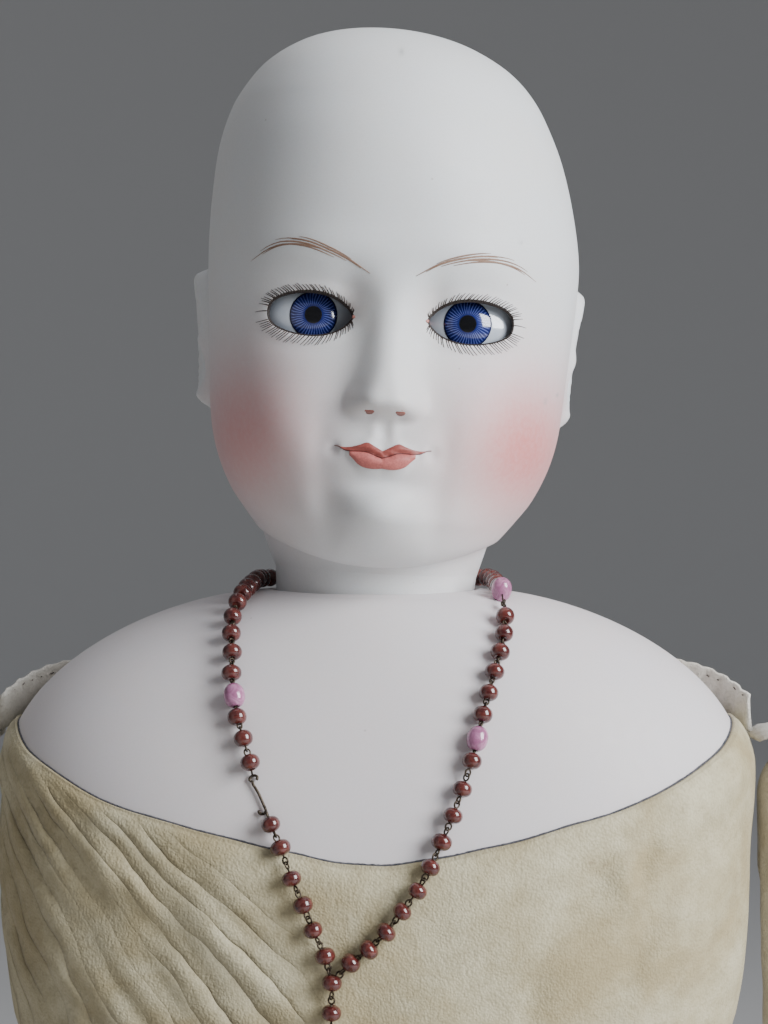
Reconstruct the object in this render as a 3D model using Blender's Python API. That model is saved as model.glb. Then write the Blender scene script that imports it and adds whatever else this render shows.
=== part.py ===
"""Porcelain fashion doll: bisque swivel head on a bisque shoulder plate, kid-leather body, seated.

Units are metres, +Z is up and the doll faces -Y.  The origin is the middle of the flat seat.
Left and right are the doll's own, so the left side is at +X.
"""

import math

import bmesh
import bpy
from mathutils import Matrix, Vector
from mathutils.bvhtree import BVHTree

# ---------------------------------------------------------------- driving dimensions
GAP = 0.0003                     # clearance between pieces that touch

# Head: heights are measured from the centre of the neck ball.
NECK_PIVOT = Vector((0.0, 0.0, 0.2840))
HEAD_ROLL = math.radians(3.4)
NECK_BALL_R = 0.0208
NECK_HOLE_R = 0.0070
BISQUE = 0.0030                  # wall of the bisque pieces
JAW_Z = 0.0120                   # lowest level section of the head
CROWN_Z = 0.1163
CROWN_TILT = math.radians(50.0)  # the crown opening faces up and back
CROWN_DISTANCE = 0.0358
SKULL_CENTRE = Vector((0.0, 0.002, 0.0720))

# z, half width, front depth, back depth, sideways lean
HEAD_SECTIONS = [
    (0.0120, 0.0256, 0.0345, 0.0235, 0.0000),
    (0.0150, 0.0280, 0.0375, 0.0255, 0.0000),
    (0.0200, 0.0316, 0.0388, 0.0300, 0.0000),
    (0.0270, 0.0347, 0.0398, 0.0355, 0.0000),
    (0.0340, 0.0363, 0.0400, 0.0392, 0.0000),
    (0.0450, 0.0372, 0.0402, 0.0422, 0.0000),
    (0.0540, 0.0379, 0.0408, 0.0437, 0.0000),
    (0.0620, 0.0385, 0.0423, 0.0444, 0.0000),
    (0.0700, 0.0387, 0.0436, 0.0446, -0.0002),
    (0.0800, 0.0378, 0.0440, 0.0440, -0.0010),
    (0.0900, 0.0360, 0.0426, 0.0418, -0.0020),
    (0.0980, 0.0332, 0.0390, 0.0380, -0.0027),
    (0.1030, 0.0304, 0.0354, 0.0343, -0.0029),
    (0.1076, 0.0265, 0.0302, 0.0291, -0.0033),
    (0.1119, 0.0202, 0.0226, 0.0218, -0.0039),
    (0.1142, 0.0147, 0.0162, 0.0156, -0.0043),
    (0.1163, 0.0000, 0.0000, 0.0000, -0.0046),
]

# Eyes, in the head's own frame
EYE_X = 0.01575
EYE_Z = 0.0537
EYE_HALF_WIDTH = 0.0081
EYE_HALF_HEIGHT = 0.0041
GLOBE_X = 0.0151
GLOBE_Y = -0.0272
GLOBE_R = 0.0102
GLOBE_WIDEN = 1.08               # the blown globes are wider than tall
GLOBE_FLATTEN = 0.80             # and shallower
SEAT_R = 0.0108
IRIS_R = 0.0043
IRIS_THICK = 0.0004
CRYSTAL_R = 0.0056

FORWARD = (0.0, -1.0, 0.0)

# Shoulder plate
CUP_R = 0.02175
PLATE_HALF_WIDTH = 0.0770
PLATE_FRONT = 0.0420
PLATE_BACK = 0.0360
PLATE_POWER = 2.3
PLATE_EDGE_FRONT_Z = 0.2240
PLATE_EDGE_SIDE_Z = 0.2470
PLATE_EDGE_BACK_Z = 0.2280
RIM_SIDE_Z = 0.2838
RIM_FRONT_Z = 0.2826

# Kid body: z, half width, front depth, back depth
KID = 0.0013                     # thickness of the leather
GLUE = 0.0007                    # space between the plate and the leather glued over it
TORSO_SECTIONS = [
    (0.0000, 0.0470, 0.0370, 0.0370),
    (0.0040, 0.0550, 0.0405, 0.0405),
    (0.0200, 0.0615, 0.0430, 0.0435),
    (0.0400, 0.0625, 0.0430, 0.0440),
    (0.0700, 0.0580, 0.0410, 0.0410),
    (0.1000, 0.0480, 0.0360, 0.0335),
    (0.1250, 0.0425, 0.0320, 0.0290),
    (0.1500, 0.0500, 0.0345, 0.0305),
    (0.1800, 0.0690, 0.0395, 0.0340),
    (0.2000, 0.0765, 0.0422, 0.0360),
    (0.2150, 0.0780, 0.0434, 0.0370),
]

# Front top edge of the leather: 0 at the middle to 1 at the side, fraction from rim to plate edge
LEATHER_EDGE = [(0.0, 0.900), (0.35, 0.905), (0.70, 0.923), (0.86, 0.930), (0.96, 0.870), (1.0, 0.800)]

# Limbs
HIP = Vector((0.0330, -0.0360, 0.0320))
HIP_R = 0.0262
KNEE = Vector((0.0340, -0.1860, 0.0240))
KNEE_R = 0.0202
ANKLE_Y = -0.2980
SHOULDER = Vector((0.0930, 0.0020, 0.2400))
SHOULDER_R = 0.0122
TAB_HINGE = Vector((0.0800, 0.0020, 0.2540))
ELBOW = Vector((0.0950, 0.0050, 0.1600))
ELBOW_R = 0.0108
HAND_TIP = Vector((0.0910, -0.0520, 0.0550))
SOCKET_PLAY = 0.0006             # radial clearance of each limb's rounded end

# ---------------------------------------------------------------- materials
MATERIALS = {
    "bisque": ((0.72, 0.70, 0.68), 0.55, 0.0),
    "cork": ((0.42, 0.27, 0.14), 0.90, 0.0),
    "white_glass": ((0.62, 0.66, 0.74), 0.10, 0.0),
    "cobalt_glass": ((0.02, 0.03, 0.12), 0.10, 0.0),
    "clear_glass": ((0.80, 0.85, 0.90), 0.02, 0.0),
    "plaster": ((0.80, 0.78, 0.72), 0.90, 0.0),
    "wood": ((0.45, 0.30, 0.17), 0.60, 0.0),
    "steel": ((0.35, 0.34, 0.32), 0.40, 1.0),
    "kid_leather": ((0.46, 0.42, 0.34), 0.70, 0.0),
    "white_kid": ((0.62, 0.60, 0.54), 0.75, 0.0),
    "sawdust": ((0.52, 0.38, 0.22), 1.00, 0.0),
    "red_bead": ((0.09, 0.012, 0.015), 0.15, 0.0),
    "pink_bead": ((0.30, 0.16, 0.24), 0.15, 0.0),
    "dark_wire": ((0.10, 0.08, 0.06), 0.45, 1.0),
}


def material(name):
    """Return the named Principled material, made on first use."""
    found = bpy.data.materials.get(name)
    if found:
        return found
    colour, roughness, metallic = MATERIALS[name]
    made = bpy.data.materials.new(name)
    made.use_nodes = True
    shader = made.node_tree.nodes["Principled BSDF"]
    shader.inputs["Base Color"].default_value = (*colour, 1.0)
    shader.inputs["Roughness"].default_value = roughness
    shader.inputs["Metallic"].default_value = metallic
    return made


# ---------------------------------------------------------------- small tools
def lerp(a, b, t):
    return a + (b - a) * t


def table_value(table, x, column):
    """Smooth curve through one column of a table whose first column rises."""
    last = len(table) - 1
    x = min(max(x, table[0][0]), table[last][0])
    i = 0
    while i < last - 1 and x > table[i + 1][0]:
        i += 1

    def slope(k):
        low = max(k - 1, 0)
        high = min(k + 1, last)
        return (table[high][column] - table[low][column]) / (table[high][0] - table[low][0])

    x0, x1 = table[i][0], table[i + 1][0]
    span = x1 - x0
    t = (x - x0) / span
    y0, y1 = table[i][column], table[i + 1][column]
    m0, m1 = slope(i) * span, slope(i + 1) * span
    return (
        y0 * (2 * t ** 3 - 3 * t ** 2 + 1)
        + m0 * (t ** 3 - 2 * t ** 2 + t)
        + y1 * (3 * t ** 2 - 2 * t ** 3)
        + m1 * (t ** 3 - t ** 2)
    )


def superellipse(angle, half_width, front, back, power):
    """Distance from the axis in the direction angle, where angle 0 is the front."""
    depth = front if math.cos(angle) >= 0.0 else back
    across = abs(math.sin(angle) / half_width) ** power
    along = abs(math.cos(angle) / depth) ** power
    return (across + along) ** (-1.0 / power)


def polar(angle, radius, z):
    return Vector((radius * math.sin(angle), -radius * math.cos(angle), z))


def new_object(name, mesh, material_name, parent=None, local=False):
    """Link a mesh under its body's empty.  World-space meshes are moved into the empty's frame."""
    if parent is not None and not local:
        mesh.transform(parent.matrix_world.inverted())
    obj = bpy.data.objects.new(name, mesh)
    bpy.context.scene.collection.objects.link(obj)
    mesh.materials.clear()
    mesh.materials.append(material(material_name))
    mesh.shade_smooth()
    mesh.set_sharp_from_angle(angle=math.radians(40.0))
    if parent is not None:
        obj.parent = parent
    return obj


def body_empty(name, location, parent=None, rotation=(0.0, 0.0, 0.0)):
    """An empty on a body's joint axis, given in world coordinates."""
    empty = bpy.data.objects.new(name, None)
    empty.empty_display_size = 0.01
    bpy.context.scene.collection.objects.link(empty)
    empty.rotation_euler = rotation
    if parent is None:
        empty.location = location
    else:
        empty.parent = parent
        empty.location = parent.matrix_world.inverted() @ Vector(location)
    bpy.context.view_layer.update()
    return empty


def loft(rings, start="cap", end="cap", loop=False):
    """Closed mesh through rings of equal count; each end is a cap or a pole point."""
    bm = bmesh.new()
    rows = [[bm.verts.new(p) for p in ring] for ring in rings]
    count = len(rows[0])
    pairs = list(zip(rows, rows[1:]))
    if loop:
        pairs.append((rows[-1], rows[0]))
    for low, high in pairs:
        for k in range(count):
            n = (k + 1) % count
            bm.faces.new((low[k], low[n], high[n], high[k]))
    if not loop:
        for row, kind in ((rows[0], start), (rows[-1], end)):
            if isinstance(kind, Vector):
                tip = bm.verts.new(kind)
                for k in range(count):
                    bm.faces.new((row[k], row[(k + 1) % count], tip))
            else:
                bm.faces.new(row)
    bmesh.ops.recalc_face_normals(bm, faces=bm.faces)
    return finish_mesh(bm)


def finish_mesh(bm):
    mesh = bpy.data.meshes.new("piece")
    bm.to_mesh(mesh)
    bm.free()
    return mesh


def turned(profile, centre, axis=(0.0, 0.0, 1.0), sides=24, loop=True):
    """Solid of revolution from a profile of (radius, height) points about an axis."""
    turn = Vector((0.0, 0.0, 1.0)).rotation_difference(Vector(axis)).to_matrix()
    rings = []
    for radius, height in profile:
        ring = []
        for k in range(sides):
            angle = math.tau * k / sides
            point = Vector((radius * math.cos(angle), radius * math.sin(angle), height))
            ring.append(turn @ point + Vector(centre))
        rings.append(ring)
    return loft(rings, loop=loop)


def arc(radius, start, stop, steps):
    """Points (radius, height) on a circle; angles in degrees from straight down."""
    points = []
    for k in range(steps + 1):
        angle = math.radians(lerp(start, stop, k / steps))
        points.append((radius * math.sin(angle), -radius * math.cos(angle)))
    return points


def boolean(mesh, cutter, operation="DIFFERENCE"):
    """Combine two closed meshes with the exact solver and return the new mesh."""
    target = bpy.data.objects.new("target", mesh)
    tool = bpy.data.objects.new("tool", cutter)
    for obj in (target, tool):
        bpy.context.scene.collection.objects.link(obj)
    modifier = target.modifiers.new("combine", "BOOLEAN")
    modifier.solver = "EXACT"
    modifier.operation = operation
    modifier.object = tool
    graph = bpy.context.evaluated_depsgraph_get()
    graph.update()
    result = bpy.data.meshes.new_from_object(target.evaluated_get(graph))
    for obj in (target, tool):
        bpy.data.objects.remove(obj)
    bm = bmesh.new()
    bm.from_mesh(result)
    bmesh.ops.remove_doubles(bm, verts=bm.verts, dist=0.00002)
    bmesh.ops.dissolve_degenerate(bm, edges=bm.edges, dist=0.00001)
    bm.to_mesh(result)
    bm.free()
    return result


def extruded(outline, direction, distance):
    """Prism from a closed outline of points."""
    offset = Vector(direction) * distance
    return loft([[p.copy() for p in outline], [p + offset for p in outline]])


def mirrored(point, side):
    return Vector((point.x * side, point.y, point.z))


# ---------------------------------------------------------------- head surface
def bump(x, z, centre_x, centre_z, spread_x, spread_z, height):
    return height * math.exp(-((x - centre_x) / spread_x) ** 2 - ((z - centre_z) / spread_z) ** 2)


def face_relief(x, z):
    """How far the features stand in front of the plain head, in metres."""
    relief = bump(x, z, 0.0, 0.0385, 0.0046, 0.0060, 0.0066)           # nose tip
    relief += bump(x, z, 0.0, 0.0490, 0.0036, 0.0090, 0.0030)          # nose bridge
    relief += bump(x, z, 0.0, 0.0268, 0.0090, 0.0050, 0.0022)          # mouth mound
    relief += bump(x, z, 0.0, 0.0155, 0.0075, 0.0050, 0.0026)          # chin boss
    relief -= bump(x, z, 0.0, 0.0205, 0.0080, 0.0022, 0.0012)          # groove under the lip
    for side in (-1.0, 1.0):
        relief += bump(x, z, side * 0.0056, 0.0368, 0.0028, 0.0030, 0.0022)
        relief += bump(x, z, side * 0.0225, 0.0310, 0.0110, 0.0110, 0.0022)
        relief -= bump(x, z, side * 0.0138, EYE_Z, 0.0092, 0.0070, 0.0026)
        relief += bump(x, z, side * 0.0150, 0.0665, 0.0130, 0.0040, 0.0008)
    return relief


def ear_relief(y, z):
    """How far each ear stands out sideways."""
    return bump(y, z, 0.0035, 0.0520, 0.0060, 0.0120, 0.0034)


def head_point(angle, z, wall=0.0):
    """Point on the head at a level z above the jaw; wall moves it inwards."""
    half_width = math.sqrt(max(table_value(HEAD_SQUARES, z, 1), 1e-9)) - wall
    front = math.sqrt(max(table_value(HEAD_SQUARES, z, 2), 1e-9)) - wall
    back = math.sqrt(max(table_value(HEAD_SQUARES, z, 3), 1e-9)) - wall
    lean = table_value(HEAD_SECTIONS, z, 4)
    power = 2.0 + 0.45 * math.exp(-((z - 0.046) / 0.030) ** 2)
    radius = superellipse(angle, half_width, front, back, power)
    point = polar(angle, radius, z)
    if wall == 0.0:
        if math.cos(angle) > 0.0:
            point.y -= face_relief(point.x, z) * min(1.0, 2.0 * math.cos(angle))
        ear = ear_relief(point.y, z) * abs(math.sin(angle)) ** 4
        point.x += math.copysign(ear, point.x)
    point.x += lean
    return point


HEAD_SQUARES = [(z, a * a, b * b, c * c) for z, a, b, c, lean in HEAD_SECTIONS]


def jaw_point(angle, t, wall=0.0):
    """Point between the neck (t = 0) and the lowest level section of the head (t = 1)."""
    start = polar(angle, NECK_BALL_R - wall, 0.0035)
    stop = head_point(angle, JAW_Z, wall)
    forward = 0.5 + 0.5 * math.cos(angle)
    neck_lift = lerp(0.0075, 0.0060, forward) + wall
    jaw_drop = lerp(0.0100, 0.0015, forward ** 1.5) + wall
    first = polar(angle, NECK_BALL_R + 0.0006 - wall, neck_lift)
    radius = Vector((stop.x, stop.y)).length * 0.965
    second = polar(angle, radius, jaw_drop)
    s = 1.0 - t
    return start * s ** 3 + first * 3 * s * s * t + second * 3 * s * t * t + stop * t ** 3


def head_angles(count):
    """Angles round the head, closer together across the face."""
    angles = []
    for k in range(count):
        u = math.tau * k / count
        angles.append(u - 0.42 * math.sin(u))
    return angles


def head_rings(columns, rows, wall):
    """Rings from the neck hole up to just below the crown."""
    angles = head_angles(columns)
    ball = NECK_BALL_R - wall
    hole = math.degrees(math.asin(NECK_HOLE_R / ball))
    rings = [
        [polar(a, radius, height) for a in angles] for radius, height in arc(ball, hole, 90.0, 6)
    ]
    for t in (0.0, 0.2, 0.42, 0.62, 0.82):
        rings.append([jaw_point(a, t, wall) for a in angles])
    top = CROWN_Z - wall
    for k in range(rows):
        rise = math.sin(0.5 * math.pi * (k / rows) ** 0.92)
        z = lerp(JAW_Z + wall * 0.6, top, rise)
        rings.append([head_point(a, z, wall) for a in angles])
    return rings


def head_solids():
    """The head's outer form as a closed solid, and its hollow."""
    top = Vector((HEAD_SECTIONS[-1][4], 0.0, CROWN_Z))
    outer = loft(head_rings(34, 22, 0.0), end=top)
    rings = head_rings(24, 9, BISQUE)
    rings[0] = [Vector((p.x, p.y, -NECK_BALL_R - 0.002)) for p in rings[0]]
    hollow = loft(rings, end=top - Vector((0.0, 0.0, BISQUE)))
    return outer, hollow


def crown_block(distance):
    """Block that covers everything beyond the crown opening's plane."""
    normal = Vector((0.0, math.sin(CROWN_TILT), math.cos(CROWN_TILT)))
    turn = Vector((0.0, 0.0, 1.0)).rotation_difference(normal).to_matrix()
    base = SKULL_CENTRE + normal * distance
    half = 0.05
    corners = [(-half, -half), (half, -half), (half, half), (-half, half)]
    outline = [base + turn @ Vector((x, y, 0.0)) for x, y in corners]
    return extruded(outline, normal, 0.05)


def eye_outline(side, grow=0.0, y=0.0):
    """Almond outline of one eye opening, pointed at the inner corner."""
    points = []
    count = 20
    for k in range(count):
        angle = math.tau * k / count
        across = math.cos(angle)
        up = math.sin(angle)
        x = across * (EYE_HALF_WIDTH + grow)
        taper = 1.0 - 0.35 * max(0.0, -across) ** 3
        z = up * (EYE_HALF_HEIGHT + grow) * taper + 0.0009 * across
        points.append(Vector((side * (EYE_X + x), y, EYE_Z + z)))
    return points


def make_head(body):
    outer, hollow = head_solids()
    pate = boolean(outer.copy(), crown_block(CROWN_DISTANCE + GAP), "INTERSECT")
    shell = boolean(outer, hollow)
    shell = boolean(shell, crown_block(CROWN_DISTANCE))
    for side in (-1.0, 1.0):
        window = extruded(eye_outline(side, y=-0.06), (0.0, 1.0, 0.0), 0.04)
        shell = boolean(shell, window)
        seat = turned(arc(SEAT_R, 6.0, 174.0, 12), (0.0, 0.0, 0.0), FORWARD, loop=False)
        shell = boolean(shell, in_socket(seat, side))
    new_object("head_shell", shell, "bisque", body, local=True)
    new_object("crown_pate", pate, "cork", body, local=True)
    for side, word in ((1.0, "left"), (-1.0, "right")):
        make_eye(body, side, word)


def in_socket(mesh, side):
    """Flatten a piece turned about the origin to the oval of the eyes and set it in its socket."""
    mesh.transform(Matrix.Diagonal((GLOBE_WIDEN, GLOBE_FLATTEN, 1.0, 1.0)))
    mesh.transform(Matrix.Translation((side * GLOBE_X, GLOBE_Y, EYE_Z)))
    return mesh


def make_eye(body, side, word):
    """White glass globe, cobalt iris, clear dome and the plaster that holds them."""
    flat = math.sqrt(GLOBE_R ** 2 - (CRYSTAL_R + GAP) ** 2)
    face_angle = math.degrees(math.acos(-flat / GLOBE_R))
    back = flat + GAP
    front = back + IRIS_THICK
    pocket = IRIS_R + GAP
    ceiling = front + GAP
    globe = arc(GLOBE_R, 9.0, face_angle, 7)
    iris = [(0.0006, back), (IRIS_R, back), (IRIS_R, front), (0.0006, front)]
    crystal = [
        (0.0006, ceiling), (pocket, ceiling), (pocket, back), (CRYSTAL_R, back),
        (CRYSTAL_R * 0.93, back + 0.00055), (CRYSTAL_R * 0.74, back + 0.00125),
        (CRYSTAL_R * 0.44, back + 0.0019), (0.0006, back + 0.0021),
    ]
    inner = arc(GLOBE_R + GAP, 12.0, 78.0, 4)
    plaster = arc(0.0128, 12.0, 78.0, 4) + inner[::-1]
    pieces = (
        ("_eye_globe", globe, "white_glass", False),
        ("_eye_iris", iris, "cobalt_glass", False),
        ("_eye_crystal", crystal, "clear_glass", False),
        ("_eye_plaster", plaster, "plaster", True),
    )
    for suffix, profile, finish, loop in pieces:
        mesh = in_socket(turned(profile, (0.0, 0.0, 0.0), FORWARD, 18, loop), side)
        new_object(word + suffix, mesh, finish, body, local=True)


# ---------------------------------------------------------------- neck fastening
def make_neck(bolt_body, rocker_body):
    pivot = NECK_PIVOT
    wall_r = NECK_BALL_R - BISQUE
    cap = arc(wall_r - GAP, 14.2, 46.0, 4) + arc(wall_r - 0.0036, 17.5, 46.0, 3)[::-1]
    new_object("neck_button", turned(cap, pivot, sides=20), "wood", rocker_body)
    shaft_r = 0.00175
    bolt = [
        (0.0006, -0.0100), (0.0048, -0.0100), (0.0054, -0.0106), (0.0054, -0.0122),
        (shaft_r, -0.0122), (shaft_r, -0.0485), (0.0010, -0.0492), (0.0003, -0.0492),
    ]
    new_object("neck_bolt", turned(bolt, pivot, sides=16, loop=False), "steel", bolt_body)
    bore = shaft_r + GAP
    washer = [(bore, -0.0252), (0.0085, -0.0252), (0.0085, -0.0262), (bore, -0.0262)]
    new_object("spring_washer", turned(washer, pivot, sides=20), "steel", bolt_body)
    new_object("neck_spring", coil_mesh(pivot, -0.0272, -0.0412, 0.0050, 0.0006, 4.0), "steel", bolt_body)
    nut = [(bore, -0.0424), (0.0045, -0.0424), (0.0040, -0.0455), (bore, -0.0455)]
    wing_nut = turned(nut, pivot, sides=16)
    for side in (-1.0, 1.0):
        wing = [(0.0036, -0.0430), (0.0105, -0.0418), (0.0115, -0.0450), (0.0036, -0.0452)]
        outline = [pivot + Vector((side * x, -0.0006, z)) for x, z in wing]
        wing_nut = boolean(wing_nut, extruded(outline, (0.0, 1.0, 0.0), 0.0012), "UNION")
    new_object("wing_nut", wing_nut, "steel", bolt_body)


def coil_mesh(centre, top, bottom, radius, wire, turns):
    """Spring wire swept along a helix."""
    steps = int(turns * 12)
    rings = []
    for k in range(steps + 1):
        t = k / steps
        angle = math.tau * turns * t
        out = Vector((math.cos(angle), math.sin(angle), 0.0))
        middle = centre + out * radius + Vector((0.0, 0.0, lerp(top, bottom, t)))
        rings.append([
            middle + out * wire * math.cos(math.tau * j / 6)
            + Vector((0.0, 0.0, wire * math.sin(math.tau * j / 6)))
            for j in range(6)
        ])
    return loft(rings)


# ---------------------------------------------------------------- shoulder plate
def body_angles(count=36):
    """Angles round the plate and the torso, which share them so that their facets line up."""
    return [math.tau * k / count for k in range(count)]


def blend_round(angle, front, side, back):
    """Value that is front at 0, side at 90 and back at 180 degrees, smoothly."""
    c = math.cos(angle)
    end = front if c >= 0.0 else back
    return lerp(side, end, abs(c) ** 1.6)


def plate_point(angle, s, offset=0.0):
    """Outer face of the shoulder plate: s runs from 0 at the neck rim to 1 at the edge."""
    def raw(a, t):
        rim_r = CUP_R + 0.0009
        rim_z = lerp(RIM_SIDE_Z, RIM_FRONT_Z, max(0.0, math.cos(a)) ** 2)
        edge_r = superellipse(a, PLATE_HALF_WIDTH, PLATE_FRONT, PLATE_BACK, PLATE_POWER)
        edge_z = blend_round(a, PLATE_EDGE_FRONT_Z, PLATE_EDGE_SIDE_Z, PLATE_EDGE_BACK_Z)
        quarter = 0.5 * math.pi * t
        radius = rim_r + (edge_r - rim_r) * math.sin(quarter)
        drop = (1.0 - math.cos(min(quarter, 0.5 * math.pi))) ** 0.85
        return polar(a, radius, rim_z - (rim_z - edge_z) * drop)

    point = raw(angle, s)
    if offset:
        step = 0.01
        along = raw(angle, min(s + step, 1.0)) - raw(angle, max(s - step, 0.0))
        across = raw(angle + step, s) - raw(angle - step, s)
        point += across.cross(along).normalized() * -offset
    return point


def make_plate(body):
    angles = body_angles()
    pivot_z = NECK_PIVOT.z
    rings = []
    for radius, height in arc(CUP_R, 13.5, 88.5, 8):
        rings.append([polar(a, radius, pivot_z + height) for a in angles])
    for s in (0.0, 0.12, 0.26, 0.42, 0.58, 0.74, 0.88, 1.0):
        rings.append([plate_point(a, s) for a in angles])
    for s in (1.0, 0.85, 0.68, 0.5, 0.36):
        rings.append([plate_point(a, s, -BISQUE) for a in angles])
    for radius, height in arc(CUP_R + BISQUE, 11.8, 52.0, 2)[::-1]:
        rings.append([polar(a, radius, pivot_z + height) for a in angles])
    new_object("shoulder_plate", loft(rings, loop=True), "bisque", body)
    ring = arc(CUP_R - 0.00025, 40.0, 84.0, 5) + arc(NECK_BALL_R + 0.00025, 40.0, 84.0, 4)[::-1]
    new_object("neck_socket_liner", turned(ring, NECK_PIVOT, sides=28), "white_kid", body)


# ---------------------------------------------------------------- kid body
def leather_top(angle):
    """Where on the plate the glued leather's top edge lies, as a fraction from rim to edge."""
    if math.cos(angle) < 0.0:
        return blend_round(angle, 0.900, 0.800, 0.860)
    return table_value(LEATHER_EDGE, abs(math.sin(angle)), 1)


def torso_ring(angles, z, inset=0.0):
    ring = []
    for a in angles:
        half_width = table_value(TORSO_SECTIONS, z, 1) - inset
        front = table_value(TORSO_SECTIONS, z, 2) - inset
        back = table_value(TORSO_SECTIONS, z, 3) - inset
        ring.append(polar(a, superellipse(a, half_width, front, back, 2.3), z))
    return ring


def hinge_clearance(centre, radius, half_width=0.09):
    """Prism that clears a hinge's rounded end through the quarter from forward to down."""
    far = 0.12
    outline = [Vector((-half_width, centre.y - far, centre.z + radius))]
    for k in range(7):
        angle = 0.5 * math.pi * (1.0 - k / 6)
        y = centre.y + radius * math.cos(angle)
        outline.append(Vector((-half_width, y, centre.z + radius * math.sin(angle))))
    outline.append(Vector((-half_width, centre.y + radius, centre.z - far)))
    outline.append(Vector((-half_width, centre.y - far, centre.z - far)))
    return extruded(outline, (1.0, 0.0, 0.0), 2.0 * half_width)


def plate_following_rings(angles, offset):
    """Rings of the leather that lies on the plate, from its edge up to the cut top edge."""
    rings = []
    for t in (0.0, 0.34, 0.67, 1.0):
        ring = []
        for a in angles:
            s = lerp(1.0, leather_top(a), t)
            ring.append(plate_point(a, s, offset))
        rings.append(ring)
    return rings


def make_torso(body):
    angles = body_angles()
    levels = [0.0, 0.004, 0.020, 0.045, 0.075, 0.105, 0.130, 0.160, 0.190, 0.212]
    outer = [torso_ring(angles, z) for z in levels]
    outer += plate_following_rings(angles, GLUE + KID)
    inner = [torso_ring(angles, max(z, KID + 0.0001), KID) for z in levels]
    inner += plate_following_rings(angles, GLUE)
    tops = [p + Vector((0.0, 0.0, 0.012)) for p in inner[-1]]
    inner.append(tops)
    solid = boolean(loft(outer), hinge_clearance(HIP, HIP_R + SOCKET_PLAY))
    hollow = boolean(loft(inner), hinge_clearance(HIP, HIP_R + SOCKET_PLAY + KID))
    new_object("torso_cover", boolean(solid, hollow), "kid_leather", body)
    inset = KID + 0.0006
    fill = [torso_ring(angles[::2], max(z, inset), inset) for z in levels]
    stuffing = boolean(loft(fill), hinge_clearance(HIP, HIP_R + SOCKET_PLAY + 2.2 * KID))
    new_object("torso_stuffing", stuffing, "sawdust", body)


# ---------------------------------------------------------------- limbs
def limb(stations, sides=16, cap_start=None, cap_end=None):
    """Round limb through stations (centre, radius, radius in depth), square to its course."""
    rings = []
    last = len(stations) - 1
    for i, (centre, wide, deep) in enumerate(stations):
        course = stations[min(i + 1, last)][0] - stations[max(i - 1, 0)][0]
        course.normalize()
        across = Vector((1.0, 0.0, 0.0))
        across = (across - course * across.dot(course)).normalized()
        depth = course.cross(across)
        ring = []
        for k in range(sides):
            angle = math.tau * k / sides
            ring.append(centre + across * wide * math.cos(angle) + depth * deep * math.sin(angle))
        rings.append(ring)
    return loft(rings, start=cap_start or "cap", end=cap_end or "cap")


def rounded_start(centre, radius, direction, steps=4):
    """Stations that close a limb with a round end about its joint."""
    stations = []
    for k in range(1, steps + 1):
        angle = 0.5 * math.pi * k / steps
        stations.append((centre - direction * radius * math.cos(angle), radius * math.sin(angle)))
    return [(c, r, r) for c, r in stations]


def make_leg(side, word, thigh_body, shin_body):
    hip = mirrored(HIP, side)
    knee = mirrored(KNEE, side)
    course = (knee - hip).normalized()
    stations = rounded_start(hip, HIP_R, course)
    for t, radius in ((0.25, 0.0262), (0.5, 0.0248), (0.75, 0.0236), (0.97, 0.0222)):
        stations.append((hip.lerp(knee, t), radius, radius))
    thigh = limb(stations, cap_start=hip - course * HIP_R)
    thigh = boolean(thigh, hinge_clearance(knee, KNEE_R + SOCKET_PLAY))
    new_object(word + "_thigh", thigh, "kid_leather", thigh_body)
    ankle = Vector((knee.x + side * 0.001, ANKLE_Y, 0.0150))
    course = (ankle - knee).normalized()
    stations = rounded_start(knee, KNEE_R, course)
    shin_radii = ((0.16, 0.0212, 0.0222), (0.36, 0.0215, 0.0208), (0.6, 0.0185, 0.0188),
                  (0.82, 0.0150, 0.0160), (1.0, 0.0130, 0.0147))
    for t, radius, rise in shin_radii:
        centre = knee.lerp(ankle, t)
        centre.z = max(rise, radius + 0.0003)
        stations.append((centre, radius, radius))
    shin = limb(stations, cap_start=knee - course * KNEE_R)
    new_object(word + "_shin", shin, "kid_leather", shin_body)
    new_object(word + "_foot", foot_mesh(ankle), "kid_leather", shin_body)


# height, half width, y behind, y at the sole
FOOT_SECTIONS = [
    (0.0000, 0.0075, -0.3030, -0.3270),
    (0.0040, 0.0115, -0.2988, -0.3300),
    (0.0140, 0.0135, -0.2988, -0.3310),
    (0.0270, 0.0132, -0.2990, -0.3305),
    (0.0360, 0.0138, -0.3080, -0.3300),
    (0.0470, 0.0150, -0.3145, -0.3305),
    (0.0570, 0.0135, -0.3190, -0.3310),
    (0.0630, 0.0075, -0.3225, -0.3300),
]


def foot_mesh(ankle):
    rings = []
    for z, half_width, behind, sole in FOOT_SECTIONS:
        ring = []
        for k in range(16):
            angle = math.tau * k / 16
            x = math.copysign(abs(math.sin(angle)) ** 0.75, math.sin(angle)) * half_width
            y = math.copysign(abs(math.cos(angle)) ** 0.75, math.cos(angle))
            ring.append(Vector((ankle.x + x, lerp(sole, behind, 0.5 + 0.5 * y), z)))
        rings.append(ring)
    return loft(rings)


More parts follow.
